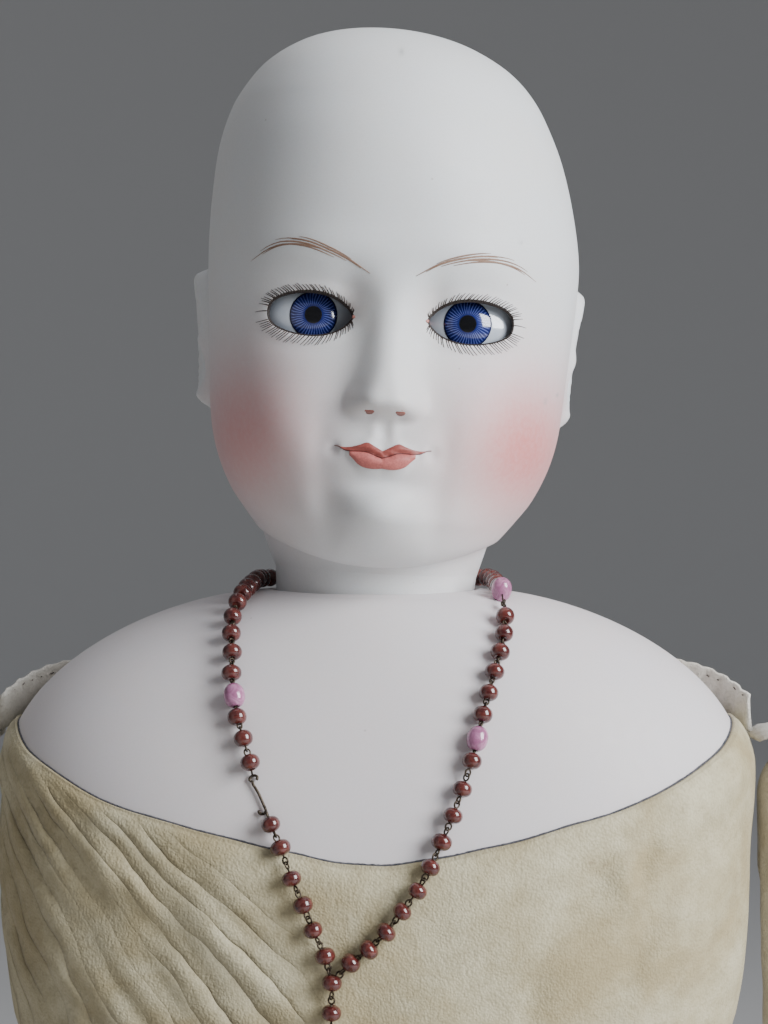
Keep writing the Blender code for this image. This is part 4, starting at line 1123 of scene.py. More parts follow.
def glue_line(angle, top):
    """Dark line laid on the bisque along the leather's edge, where the two parts meet."""
    rng = np.random.default_rng(8)
    path = plate_points(angle, top - 0.0035 + rng.uniform(-0.0008, 0.0008, len(angle)), 0.00003)
    group = Gather()
    group.take(*tube_points(path, 0.00024, 6, closed=True))
    group.build("glue_line", EDGE_LINE_DARK, "torso", "kid_leather")


def kid_body(columns, steps, inset):
    """Rows of the kid body, moved in by inset: seat, sides, and the part glued over the plate."""
    angle = front_angles(columns, 0.42)
    outer = [body_ring(angle, 0.0, inset, scale) for scale in (0.3, 0.6, 0.85)]
    outer += [body_ring(angle, z, inset) for z in np.linspace(inset, 0.212, steps)]
    first = len(outer)
    edge = plate_points(angle, 1.0, GLUE + KID - inset)
    count = max(4, steps // 8)
    for t in np.linspace(0.0, 1.0, count + 1, endpoint=False)[1:]:
        outer.append(outer[first - 1] * (1.0 - t) + edge * t)
    top = cut_edge(angle)
    for t in np.linspace(0.0, 1.0, max(6, steps // 5)):
        outer.append(plate_points(angle, 1.0 + (top - 1.0) * t, GLUE + KID - inset))
    rows = np.array(outer)
    start = first - max(3, steps // 12)
    for _ in range(steps // 4):
        middle = rows[start:first + count + 6]
        middle[1:-1] = 0.25 * middle[:-2] + 0.5 * middle[1:-1] + 0.25 * middle[2:]
    return angle, rows, top, first + count


def side_seams(angle, z):
    """Sewn grooves down both sides and the back of the body."""
    total = 0.0
    for turn in (0.5 * math.pi, 1.5 * math.pi, math.pi):
        away = np.angle(np.exp(1j * (angle - turn))) * 0.05 / 0.0007
        total = total + 0.0007 * np.exp(-away ** 2)[None, :] * smoothstep(0.010, 0.022, z)
    return total


def build_torso():
    """Kid body with its stains and folds, the dark line along its edge, and the sawdust inside."""
    angle, rows, top, first = kid_body(400, 150, 0.0)
    x, y, z = rows[:, :, 0], rows[:, :, 1], rows[:, :, 2]
    flat = rows.reshape(-1, 3)
    broad = (ripple(flat, 26.0, 1.0) + 0.5 * ripple(flat, 60.0, 2.0)).reshape(x.shape)
    front = smoothstep(0.005, -0.012, y)
    high = smoothstep(0.070, 0.090, z)
    heights = high * 0.0012 * (broad - 0.20) + high * front * fold_height(x, z)
    pull = np.sin(5.0 * np.arctan2(x, -y) + 2.0 * broad) * hill(z, 0.0, 0.125, 0.0, 0.022, 1.0, 0.0006)
    heights += high * pull - side_seams(angle, z)
    distance = np.linalg.norm(rows - rows[-1][None], axis=2)
    heights *= 0.25 + 0.75 * smoothstep(0.0, 0.006, distance)
    rows = push_out(rows, heights)
    thin = 1.0 - 0.80 * np.exp(-np.maximum(distance - 0.0002, 0.0) / 0.0016)
    under = rows - push_out(rows, np.ones(distance.shape))
    glued = smoothstep(first, first + 3, np.arange(len(rows)))[:, None]
    rows = rows + under * ((1.0 - thin) * KID * glued)[:, :, None]
    lip = [plate_points(angle, top - 0.002, GLUE + KID * k) for k in (0.12, -0.20, -0.50)]
    inner = [plate_points(angle, top + (1.0 - top) * t, GLUE) for t in (0.03, 0.3, 0.65, 1.0)]
    inner += [body_ring(angle, h, KID) for h in np.linspace(0.205, KID, 26)]
    inner.append(inner[-1] * np.array((0.5, 0.5, 1.0)))
    grid = np.concatenate([rows, np.array(lip), np.array(inner)])
    faces = capped_faces(*grid.shape[:2])
    body = face_outward(add_mesh("kid_body", grid.reshape(-1, 3), faces, KID_LEATHER))
    rim = np.zeros(grid.shape[:2])
    rim[len(rows) - 3:len(rows) + 4] = 1.0
    attribute(body, "rim", rim.ravel())
    fan = np.zeros(grid.shape[:2])
    bearing = fan_bearing(x, z)[0]
    fan[:len(rows)] = fan_mask(x, z, bearing) * front * high * smoothstep(0.0, 0.006, distance)
    attribute(body, "fan", fan.ravel())
    settle(body, "torso", "kid_leather", "torso_cover")
    glue_line(angle, top)
    rows = kid_body(60, 30, KID + 0.0006)[1][:33]
    stuffing = closed_piece("packed_sawdust", rows, SAWDUST, "torso", "sawdust", "torso_stuffing")
    return body


def strip_points(line, width, thick, flare=0.0):
    """Closed leather strip with rounded edges along a line of (place, across) pairs."""
    rows = []
    for k, (place, across) in enumerate(line):
        ahead = line[min(k + 1, len(line) - 1)][0] - line[max(k - 1, 0)][0]
        across = Vector(across).normalized()
        up = across.cross(ahead).normalized()
        half = 0.5 * width * (1.0 + flare * math.sin(5.0 * k / len(line)))
        ring = []
        for i in range(20):
            a = TAU * i / 20
            c, h = math.cos(a), math.sin(a)
            wave = 0.00035 * math.sin(2.1 * k + 3.0 * c)
            out = half * math.copysign(abs(c) ** 0.35, c)
            ring.append(place + across * out + up * (0.5 * thick * math.copysign(abs(h) ** 0.7, h) + wave))
        rows.append(ring)
    return [p for ring in rows for p in ring], capped_faces(len(rows), 20)


# Middle lines of the kid strips over the back of the left shoulder, and their widths
YOKE_STRIPS = (
    (0.0105, ((0.0560, 0.0130, 0.2640), (0.0600, 0.0120, 0.2640), (0.0660, 0.0110, 0.2632),
              (0.0715, 0.0095, 0.2620), (0.0760, 0.0070, 0.2600), (0.0795, 0.0040, 0.2572))),
    (0.0100, ((0.0640, 0.0180, 0.2590), (0.0700, 0.0165, 0.2575), (0.0750, 0.0140, 0.2550),
              (0.0785, 0.0090, 0.2525))),
)


def build_yokes():
    """Off-white kid strips sewn over the back of each shoulder, with raw stitched edges."""
    for side, word in SIDES:
        strips, thread = Gather(), Gather()
        across = Vector((0.10 * side, 0.50, -1.0))
        lift = Vector((0.10 * side, -1.0, -0.5)).normalized() * 0.0008
        for width, line in YOKE_STRIPS:
            course = smooth_route([Vector((side * x, y, z)) for x, y, z in line], 5)
            strips.take(*strip_points([(p, across) for p in course], width, 0.0011, 0.10))
            for k, p in enumerate(course[1:-1:2]):
                edge = p + across.normalized() * (-0.34 * width)
                run = (course[min(2 * k + 3, len(course) - 1)] - p).normalized() * 0.0009
                stitch = [edge - run - lift * 0.6, edge + lift, edge + run - lift * 0.6]
                thread.take(*tube_points(stitch, 0.00016, 6))
        strips.build(word + "_yoke_strips", WHITE_KID, "torso", "white_kid")
        thread.build(word + "_yoke_stitches", THREAD, "torso", "white_kid")


def drag_folds(n, colour):
    """Sharp crests of the leather's drag folds, fanning from the right shoulder, with painted shade
    darkening the troughs between them.
    """
    x, _, z = n.split()
    right = n.math("SUBTRACT", x, FAN_PLACE[0])
    down = n.math("SUBTRACT", FAN_PLACE[1], z)
    bearing = n.product(n.math("ARCTAN2", down, right), 0.78 * FAN_FOLDS)
    sway = n.product(n.noise(34.0, 3.0, 0.5), 7.0)
    wave = n.math("ABSOLUTE", n.math("SINE", n.math("ADD", bearing, sway)))
    wave = n.math("POWER", wave, 0.6)
    strength = n.product(n.value_of("fan"), n.ramp(n.noise(52.0, 2.0, 0.5), 0.36, 0.62, 0.15, 1.0))
    pleats = n.product(n.math("SUBTRACT", wave, 1.0), strength)
    # painted shade: the colour darkens in the troughs between the fold crests
    shade = n.product(n.ramp(wave, 0.10, 0.62, 1.0, 0.0), strength, 0.26)
    return pleats, n.mix(shade, colour, (0.19, 0.145, 0.075))


def leather_material(name, tan, cream, rim=False):
    """Old kid: cream with tan stains, pebbled grain, fine creases."""
    n = Nodes(name)
    stain = n.noise(34.0, 5.0, 0.6, 0.4)
    fine = n.noise(230.0, 5.0, 0.62)
    colour = n.mix(n.ramp(stain, 0.36, 0.66), tan, cream)
    colour = n.mix(n.ramp(fine, 0.35, 0.72, 0.0, 0.34), colour, tuple(0.72 * c for c in tan))
    foxing = n.product(n.ramp(n.noise(90.0, 2.0), 0.60, 0.72), n.ramp(n.noise(700.0, 3.0), 0.5, 0.66), 0.40)
    colour = n.mix(foxing, colour, (0.20, 0.14, 0.075))
    pebble = n.cells(2100.0, "SMOOTH_F1")
    coarse = n.cells(520.0, "SMOOTH_F1")
    colour = n.mix(n.ramp(pebble, 0.30, 0.85, 0.0, 0.26), colour, tuple(0.50 * c for c in tan))
    if rim:
        colour = n.mix(n.product(n.value_of("rim"), 0.22), colour, (0.10, 0.075, 0.045))
    crease = n.noise(150.0, 6.0, 0.68, 1.2)
    grain = n.noise(1500.0, 3.0, 0.6, 0.6, n.stretched((1.0, 1.0, 0.28), (0.0, 0.75, 0.0)))
    normal = n.bump(pebble, 0.00016, 0.9, n.bump(coarse, 0.00006, 0.25, n.bump(crease, 0.00010, 0.35)))
    normal = n.bump(grain, 0.00014, 0.8, normal)
    if rim:
        pleats, colour = drag_folds(n, colour)
        normal = n.bump(pleats, 0.0009, 1.0, normal)
    return n.set(
        Base_Color=colour,
        Roughness=n.ramp(fine, 0.3, 0.7, 0.58, 0.74),
        Normal=normal,
        Specular_IOR_Level=0.35,
        Sheen_Weight=0.10,
        Sheen_Roughness=0.5,
    )


def plain_material(name, dark, light, scale, roughness, metallic=0.0, grain=0.00004, stretch=None):
    """Everyday material: two colours through noise, with a matching bump."""
    n = Nodes(name)
    field = n.noise(scale, 5.0, 0.6, 0.5, n.stretched(stretch) if stretch else n.place)
    return n.set(
        Base_Color=n.mix(n.ramp(field, 0.3, 0.7), dark, light),
        Roughness=n.ramp(field, 0.3, 0.7, roughness, min(1.0, roughness + 0.12)),
        Metallic=metallic,
        Normal=n.bump(field, grain, 0.6),
    )


KID_LEATHER = leather_material("kid_leather", (0.385, 0.315, 0.175), (0.555, 0.500, 0.340), rim=True)
WHITE_KID = leather_material("white_kid", (0.52, 0.48, 0.41), (0.64, 0.61, 0.55))
SAWDUST = plain_material("sawdust", (0.36, 0.25, 0.13), (0.56, 0.42, 0.26), 900.0, 0.95, grain=0.0003)
CORK = plain_material("cork", (0.20, 0.11, 0.050), (0.46, 0.30, 0.16), 330.0, 0.85, grain=0.0004)
WOOD = plain_material("turned_wood", (0.26, 0.15, 0.075), (0.46, 0.31, 0.18), 260.0, 0.50,
                      stretch=(1.0, 1.0, 0.12))
STEEL = plain_material("old_steel", (0.10, 0.085, 0.075), (0.34, 0.33, 0.32), 600.0, 0.34, 1.0)
PLASTER = plain_material("plaster", (0.62, 0.59, 0.52), (0.78, 0.76, 0.70), 420.0, 0.90, grain=0.0002)
THREAD = plain_material("linen_thread", (0.070, 0.060, 0.052), (0.17, 0.15, 0.13), 2600.0, 0.80)


# ---------------------------------------------------------------- necklace
BEAD_R = 0.00195
BEAD_HALF = 0.00162
PINK_R = 0.0021
PINK_HALF = 0.0025
PENDANT_R = 0.0026
LINK_WIRE_R = 0.00019
HOOK_WIRE_R = 0.00028
RING_WIRE_R = 0.00020
PITCH = 0.0047
NECK_LOOP_R = 0.0249
NECK_LOOP_Z = 0.2859
NECK_LOOP = (99, 119, 140, 160, 180, 200, 220, 240, 258, 276)   # degrees round the neck from the front
# x and height of the beads over the body, from the neck down
RIGHT_UPPER = [(-0.0268, 0.2818), (-0.0283, 0.2776), (-0.0280, 0.2726), (-0.0280, 0.2682)]
RIGHT_PINK = (-0.0273, 0.2640)
RIGHT_MIDDLE = [(-0.0267, 0.2600), (-0.0254, 0.2560), (-0.0240, 0.2515)]
RIGHT_HOOK = [(-0.0236, 0.2488), (-0.0224, 0.2455), (-0.0210, 0.2425)]
RIGHT_LOWER = [(-0.0199, 0.2398), (-0.0180, 0.2350), (-0.0158, 0.2298), (-0.0136, 0.2248),
               (-0.0117, 0.2200), (-0.0094, 0.2150)]
LEFT_PINK_TOP = (0.0255, 0.2826)
LEFT_UPPER = [(0.0259, 0.2785), (0.0254, 0.2745), (0.0240, 0.2700), (0.0226, 0.2655), (0.0211, 0.2605)]
LEFT_PINK_LOW = (0.0200, 0.2560)
LEFT_LOWER = [(0.0189, 0.2518), (0.0170, 0.2465), (0.0152, 0.2415), (0.0130, 0.2365), (0.0108, 0.2318),
              (0.0083, 0.2275), (0.0054, 0.2236), (0.0023, 0.2196), (-0.0010, 0.2162), (-0.0045, 0.2136)]
DROP = [(-0.0081, 0.2098), (-0.0082, 0.2040), (-0.0082, 0.1980), (-0.0081, 0.1920), (-0.0080, 0.1860)]
PENDANT = (-0.0080, 0.1822)


class Gather:
    """Collects many small closed shapes into one mesh."""

    def __init__(self):
        self.points, self.faces = [], []

    def take(self, points, faces):
        base = len(self.points)
        self.points.extend(points)
        self.faces.extend(tuple(base + i for i in face) for face in faces)

    def build(self, name, material, body, slot, *nodes):
        obj = face_outward(add_mesh(name, self.points, self.faces, material))
        return settle(obj, body, slot, *nodes)


def turned_points(profile, centre, axis, sides):
    """Rings and caps of a shape turned about an axis; the profile is (radius, height) rows."""
    turn = Vector(axis).to_track_quat("Z", "Y").to_matrix()
    points = []
    for radius, height in profile:
        for a in full_turn(sides):
            out = Vector((radius * math.cos(a), radius * math.sin(a), height))
            points.append(Vector(centre) + turn @ out)
    return points, capped_faces(len(profile), sides)


def bead_profile(radius, half, steps=14, hole=0.00040):
    """Rounded bead with slightly flattened ends that dip into its hole."""
    rows = [(hole, -half * 0.80)]
    for k in range(steps + 1):
        a = math.pi * (0.10 + 0.80 * k / steps)
        height = -half * math.copysign(abs(math.cos(a)) ** 0.92, math.cos(a))
        rows.append((radius * math.sin(a) ** 0.86, height))
    return rows + [(hole, half * 0.80)]


def tube_points(path, radius, sides=8, closed=False):
    """Round wire along a path."""
    path = [Vector(p) for p in path]
    points, last = [], len(path) - 1
    side = None
    for i, p in enumerate(path):
        ahead = path[(i + 1) % len(path)] if closed else path[min(i + 1, last)]
        behind = path[i - 1] if closed or i else path[0]
        run = (ahead - behind).normalized()
        side = side or (run.orthogonal().normalized())
        side = (side - run * side.dot(run)).normalized()
        other = run.cross(side)
        for k in range(sides):
            a = TAU * k / sides
            points.append(p + (side * math.cos(a) + other * math.sin(a)) * radius)
    return points, looped_faces(len(path), sides) if closed else capped_faces(len(path), sides)


def eyelet(wires, a, b, twist):
    """Two linked wire loops that join one bead to the next."""
    a, b = Vector(a), Vector(b)
    run = (b - a).normalized()
    side = Vector((run.z, 0.0, -run.x)).normalized() if abs(run.y) < 0.98 else Vector((1.0, 0.0, 0.0))
    depth = run.cross(side)
    gap = (b - a).length
    loop = min(0.00062, 0.30 * gap)
    for end, sign, tilt in ((a, 1.0, twist), (b, -1.0, twist + 1.35)):
        flat = side * math.cos(tilt) + depth * math.sin(tilt)
        middle = end + run * sign * (0.52 * gap - loop * 0.80)
        path = [middle + (run * math.cos(t) * 1.15 + flat * math.sin(t)) * loop for t in full_turn(12)]
        wires.take(*tube_points(path, LINK_WIRE_R, 6, closed=True))
        stem = [end - run * sign * 0.0012, middle - run * sign * loop * 1.05]
        wires.take(*tube_points(stem, LINK_WIRE_R, 6))


def resting(tree, place, radius):
    """Centre of a bead that lies on the front of the body at (x, z)."""
    x, z = place
    hit = tree.ray_cast(Vector((x, -0.2, z)), Vector((0.0, 1.0, 0.0)))[0]
    return clear_of(tree, Vector((x, hit.y - radius, z)), radius)


def clear_of(tree, centre, radius):
    """Move a ball's centre out until it lies just clear of the surface."""
    for _ in range(8):
        nearest = tree.find_nearest(centre)[0]
        away = centre - nearest
        short = radius + 0.00012 - away.length
        if short <= 0.0:
            break
        centre = centre + away.normalized() * short
    return centre


def smooth_route(points, parts=8):
    """Closely spaced points on a smooth curve through the given ones."""
    ends = [points[0] * 2 - points[1]] + points + [points[-1] * 2 - points[-2]]
    route = []
    for i in range(1, len(ends) - 2):
        p0, p1, p2, p3 = ends[i - 1:i + 3]
        for t in np.arange(parts) / parts:
            route.append(0.5 * (p1 * 2 + (p2 - p0) * t + (p0 * 2 - p1 * 5 + p2 * 4 - p3) * t * t
                                + (p1 * 3 - p0 - p2 * 3 + p3) * t ** 3))
    return route + [points[-1]]


def spaced(route, pitch):
    """Points at an even pitch along a route, with both ends kept."""
    route = smooth_route(route)
    steps = np.cumsum([0.0] + [(b - a).length for a, b in zip(route, route[1:])])
    count = max(1, round(steps[-1] / pitch))
    wanted = np.linspace(0.0, steps[-1], count + 1)
    columns = [np.interp(wanted, steps, [p[k] for p in route]) for k in range(3)]
    return [Vector(p) for p in zip(*columns)]


def build_necklace(surfaces):
    """Wire-linked glass beads, hooked at the doll's right, with a drop in front."""
    ground = Gather()
    for obj in surfaces:
        ground.take([v.co.copy() for v in obj.data.vertices], [p.vertices for p in obj.data.polygons])
    tree = BVHTree.FromPolygons(ground.points, ground.faces)

    def on_body(places, radius=BEAD_R):
        return [resting(tree, place, radius) for place in places]

    loop = [Vector(polar(math.radians(degrees), NECK_LOOP_R, NECK_LOOP_Z)) for degrees in NECK_LOOP]
    pink_top, pink_right, pink_left = on_body((LEFT_PINK_TOP, RIGHT_PINK, LEFT_PINK_LOW), PINK_R)
    beads = {
        "necklace_back_strand": spaced([pink_top] + loop + on_body(RIGHT_UPPER), PITCH)[1:],
        "necklace_right_middle": on_body(RIGHT_MIDDLE),
        "necklace_right_lower": on_body(RIGHT_LOWER),
        "necklace_left_upper": spaced(on_body(LEFT_UPPER), PITCH),
        "necklace_left_lower": on_body(LEFT_LOWER),
        "necklace_drop": on_body(DROP),
    }
    back, middle, lower, left_upper, left_lower, drop = beads.values()
    lines = (
        [pink_top] + back + [pink_right] + middle,
        lower + drop,
        [pink_top] + left_upper + [pink_left] + left_lower + drop[:1],
    )
    pinks = {tuple(p) for p in (pink_top, pink_right, pink_left)}
    rng = np.random.default_rng(5)
    courses = {}
    wires = {name: Gather() for name in beads}
    owner = {tuple(p): name for name, places in beads.items() for p in places}
    for line in lines:
        for a, b in zip(line, line[1:]):
            run = (b - a).normalized()
            for p in (a, b):
                courses[tuple(p)] = courses.get(tuple(p), Vector()) + run
            start = a + run * (PINK_HALF if tuple(a) in pinks else BEAD_HALF) * 0.92
            stop = b - run * (PINK_HALF if tuple(b) in pinks else BEAD_HALF) * 0.92
            home = owner.get(tuple(b)) or owner.get(tuple(a))
            if (stop - start).dot(run) > 0.0003:
                eyelet(wires[home], start, stop, rng.uniform(0.0, 3.0))
    for name, places in beads.items():
        group = Gather()
        for p in places:
            size = rng.uniform(0.95, 1.04)
            course = courses.get(tuple(p), Vector((0.0, 0.0, 1.0)))
            course = (course.normalized() + Vector(rng.uniform(-0.10, 0.10, 3))).normalized()
            profile = bead_profile(BEAD_R * size, BEAD_HALF * rng.uniform(0.93, 1.04))
            group.take(*turned_points(profile, p, course, 22))
        group.build(name + "_beads", RED_BEAD, "torso", "red_bead", name)
        wires[name].build(name + "_links", WIRE, "torso", "dark_wire")
    for word, centre in (("left_top", pink_top), ("right", pink_right), ("left_low", pink_left)):
        name = "necklace_" + word + "_pink_bead"
        group = Gather()
        group.take(*turned_points(bead_profile(PINK_R, PINK_HALF, 16), centre, courses[tuple(centre)], 24))
        group.build(name + "_glass", PINK_BEAD, "torso", "pink_bead", name)
    pendant = resting(tree, PENDANT, PENDANT_R)
    group = Gather()
    group.take(*turned_points(bead_profile(PENDANT_R, PENDANT_R, 16), pendant, (0.0, 0.0, 1.0), 24))
    group.build("necklace_end_bead", RED_BEAD, "torso", "red_bead", "necklace_pendant_bead")
    build_hook(tree, on_body(RIGHT_HOOK, 0.0005), middle[-1], lower[0])


def build_hook(tree, hook, above, below):
    """Wire hook between two beads: an eye at the top, a stem, a bend, and the ring that it catches."""
    forward = Vector((0.0, -1.0, 0.0))
    course = (hook[-1] - hook[0]).normalized()
    side = course.cross(forward).normalized()
    top, bend = [], []
    for t in np.linspace(-2.6, 2.6, 12):
        top.append(hook[0] + (course * (1.0 - math.cos(t)) * 0.7 + side * math.sin(t)) * 0.0008)
    for t in np.linspace(0.3, 3.6, 9):
        bend.append(hook[-1] + (course * math.sin(t) + side * (1.0 - math.cos(t))) * 0.0007)
    stem = [hook[0] + course * 0.0016 + side * 0.0005, hook[1], hook[-1]]
    path = [clear_of(tree, p, 0.0005) for p in top + smooth_route(stem, 4) + bend]
    link = hook[-1].lerp(below, 0.35)
    ring = [link + (course * math.cos(t) * 1.2 + forward * math.sin(t)) * 0.0008 for t in full_turn(12)]
    ring = [clear_of(tree, p, 0.00022) for p in ring]
    group = Gather()
    group.take(*tube_points(path, HOOK_WIRE_R, 8))
    group.take(*tube_points([above, hook[0]], RING_WIRE_R, 6))
    group.take(*tube_points(ring, RING_WIRE_R, 6, closed=True))
    group.take(*tube_points([link, below], RING_WIRE_R, 6))
    group.build("necklace_wire_hook", WIRE, "torso", "dark_wire", "necklace_hook")


def bead_material(name, deep, bright):
    """Pressed glass with a streaked body colour and small surface chips."""
    n = Nodes(name)
    swirl = n.noise(420.0, 4.0, 0.6, 1.5)
    chips = n.ramp(n.noise(1500.0, 3.0, 0.6), 0.60, 0.68)
    colour = n.mix(n.ramp(swirl, 0.32, 0.70), deep, bright)
    colour = n.mix(n.product(chips, 0.35), colour, tuple(0.35 * c for c in deep))
    return n.set(
        Base_Color=colour,
        Roughness=n.ramp(chips, 0.0, 1.0, 0.20, 0.5),
        Coat_Weight=0.7,
        Coat_Roughness=0.10,
        Normal=n.bump(swirl, 0.00006, 0.5),
    )


RED_BEAD = bead_material("oxblood_glass", (0.055, 0.009, 0.009), (0.135, 0.029, 0.022))
# dark line laid on the bisque along the leather's edge
EDGE_LINE_DARK = plain_material("dark_edge_bead", (0.030, 0.032, 0.042), (0.11, 0.105, 0.115), 1400.0, 0.7)
PINK_BEAD = bead_material("pink_glass", (0.31, 0.105, 0.21), (0.49, 0.21, 0.36))
WIRE = plain_material("blackened_wire", (0.030, 0.022, 0.016), (0.12, 0.095, 0.070), 2200.0, 0.42, 0.9)


# ---------------------------------------------------------------- limbs
KNEE = Vector((0.0340, -0.1860, 0.0240))
KNEE_R = 0.0202
ANKLE = Vector((0.0350, -0.2980, 0.0150))
SHOULDER = Vector((0.0930, 0.0020, 0.2400))
SHOULDER_R = 0.0122
ELBOW = Vector((0.0950, 0.0050, 0.1600))
ELBOW_R = 0.0108
HAND_TIP = Vector((0.0910, -0.0520, 0.0550))
# fraction of the way from joint to joint, radius
THIGH = np.array([(0.0, HIP_R), (0.25, 0.0262), (0.5, 0.0248), (0.75, 0.0236), (0.97, 0.0222)])
SHIN = np.array([
    (0.0, KNEE_R), (0.16, 0.0212), (0.36, 0.0215), (0.6, 0.0185), (0.82, 0.0150), (1.0, 0.0130),
])
# fraction, height of the shin's middle line
SHIN_RISE = np.array([
    (0.0, 0.0240), (0.16, 0.0222), (0.36, 0.0218), (0.6, 0.0188), (0.82, 0.0160), (1.0, 0.0147),
])
UPPER_ARM = np.array([(0.0, SHOULDER_R), (0.35, 0.0124), (0.7, 0.0122), (0.97, 0.0124)])
# fraction, half thickness, half breadth
FOREARM = np.array([
    (0.0, ELBOW_R, ELBOW_R), (0.15, 0.0107, 0.0107), (0.32, 0.0101, 0.0101), (0.50, 0.0081, 0.0083),
    (0.62, 0.0060, 0.0068), (0.68, 0.0056, 0.0074),
])
# height, half width, y behind, y at the sole
FOOT = np.array([
    (0.0000, 0.0075, -0.3030, -0.3270), (0.0040, 0.0115, -0.2988, -0.3300),
    (0.0140, 0.0135, -0.2988, -0.3310), (0.0270, 0.0132, -0.2990, -0.3305),
    (0.0360, 0.0138, -0.3080, -0.3300), (0.0470, 0.0150, -0.3145, -0.3305),
    (0.0570, 0.0135, -0.3190, -0.3310), (0.0630, 0.0075, -0.3225, -0.3300),
])


def limb_grid(start, stop, table, reach, columns=96, rows=90, rise=None):
    """Round-ended limb from one joint towards the next, as a grid of points, with its fractions."""
    course = (stop - start).normalized()
    radius = float(table[0, 1])
    stations = []
    for a in np.radians(np.linspace(4.0, 84.0, 16)):
        wide = radius * math.sin(a)
        stations.append((-1.0 + a / math.pi, start - course * radius * math.cos(a), wide, wide))
    for t in np.linspace(0.0, reach, rows):
        wide = float(smooth_table(table, t, 1))
        deep = float(smooth_table(table, t, table.shape[1] - 1))
        centre = start.lerp(stop, t)
        if rise is not None and t > 0.0:
            centre.z = float(smooth_table(rise, t, 1))
        stations.append((t, centre, wide, deep))
    t, centre, wide, deep = stations[-1]
    for scale, step in ((0.985, 0.0003), (0.94, 0.0005), (0.80, 0.0005), (0.4, 0.0005)):
        stations.append((t, centre + course * step, wide * scale, deep * scale))
    across = Vector((1.0, 0.0, 0.0))
    across = (across - course * across.dot(course)).normalized()
    depth = course.cross(across)
    turn = full_turn(columns)
    grid = [np.array(c) + np.outer(np.cos(turn) * w, across) + np.outer(np.sin(turn) * d, depth)
            for _, c, w, d in stations]
    return np.array(grid), np.array([s[0] for s in stations]), turn


BODY_KID = (KID_LEATHER, "kid_leather")
ARM_KID = (WHITE_KID, "white_kid")


def kid_limb(name, start, stop, table, reach, body, node, hollow=None, rise=None, kid=BODY_KID,
             depth=0.0007):
    """Stuffed kid limb: lumps, gathers near the joints, a sewn seam along the outside."""
    material, slot = kid
    grid, t, turn = limb_grid(start, stop, table, reach, rise=rise)
    flat = grid.reshape(-1, 3)
    lumps = (ripple(flat, 60.0, 7.0) + 0.6 * ripple(flat, 150.0, 9.0)).reshape(grid.shape[:2])
    body_part = smoothstep(0.06, 0.20, t)[:, None] * smoothstep(reach, reach - 0.10, t)[:, None]
    gather = np.exp(-((t - 0.16) / 0.07) ** 2) + np.exp(-((t - reach + 0.12) / 0.07) ** 2)
    pleats = np.sin(13.0 * turn[None, :] + 5.0 * lumps) * gather[:, None]
    seam = np.exp(-(np.angle(np.exp(1j * (turn - 0.5 * math.pi))) / 0.045) ** 2)[None, :]
    heights = body_part * (depth * (lumps - 0.35) + 0.00035 * (pleats - 1.0) - 0.0006 * seam)
    grid = push_out(grid, heights)
    if hollow is not None:
        grid = clear_recess(grid, *hollow)
    obj = closed_piece(name, grid, material, body, slot, node)
    stitches = Gather()
    column = len(turn) // 4
    for i in range(22, len(t) - 12, 3):
        a, b = Vector(grid[i, column - 2]), Vector(grid[i + 1, column + 2])
        out = (a - Vector(grid[i].mean(axis=0))).normalized()
        path = [a - out * 0.0003, a.lerp(b, 0.5) + out * 0.00045, b - out * 0.0003]
        stitches.take(*tube_points(path, 0.00017, 6))
    stitches.build(name + "_stitches", THREAD, body, slot)


TOE_PITCH = 0.0052
TOE_STITCH = ((0.0004, -0.0005), (0.0006, 0.0), (0.0004, 0.0005))
TOE_LINES = (-1.5, -0.5, 0.5, 1.5)           # sewn lines between the toes, in toe widths from the middle


def kid_foot(side, word):
    """Stitched kid foot with a centre seam and toes marked by sewing."""
    turn = full_turn(96)
    rows = []
    for z in 0.5 * FOOT[-1, 0] * (1.0 + np.sin(0.5 * math.pi * np.linspace(-1.0, 1.0, 74))):
        half, behind, sole = (float(smooth_table(FOOT, z, k)) for k in (1, 2, 3))
        x = np.sign(np.sin(turn)) * np.abs(np.sin(turn)) ** 0.75 * half
        c = np.sign(np.cos(turn)) * np.abs(np.cos(turn)) ** 0.75
        y = sole + (behind - sole) * (0.5 + 0.5 * c)
        rows.append(np.stack([side * ANKLE.x + x, y, z + 0.0 * turn], axis=-1))
    for end in (0, -1):
        middle = rows[end].mean(axis=0)
        for scale in (0.75, 0.35):
            ring = middle + (rows[end] - middle) * scale
            rows.insert(0 if end == 0 else len(rows), ring)
    grid = np.array(rows)
    lumps = ripple(grid.reshape(-1, 3), 110.0, 3.0).reshape(grid.shape[:2])
    x, y, z = grid[..., 0] - side * ANKLE.x, grid[..., 1], grid[..., 2]
    front = smoothstep(-0.3, 0.3, -np.cos(turn))[None, :]
    toes = sum(np.exp(-((x - TOE_PITCH * k) / 0.0006) ** 2) for k in TOE_LINES)
    toes = toes * smoothstep(0.049, 0.054, z)
    seam = np.exp(-(x / 0.0006) ** 2) * smoothstep(0.0545, 0.050, z) * smoothstep(0.003, 0.008, z)
    edge = smoothstep(0.0, 0.004, z) * smoothstep(0.0630, 0.0590, z)
    grid = push_out(grid, edge * (0.0005 * (lumps - 0.3)) - edge * (0.0009 * toes + 0.0005 * seam * front))
    body = word + "_lower_leg"
    closed_piece(word + "_kid_foot", grid, KID_LEATHER, body, "kid_leather", word + "_foot")
    stitches = Gather()
    for k in TOE_LINES:
        for h in np.linspace(0.0515, 0.0585, 5):
            place = Vector((side * ANKLE.x + TOE_PITCH * k, float(smooth_table(FOOT, h, 2)) - 0.0004, h))
            path = [place + Vector((0.0, y, z)) for y, z in TOE_STITCH]
            stitches.take(*tube_points(path, 0.00018, 6))
    stitches.build(word + "_toe_stitches", THREAD, body, "kid_leather")


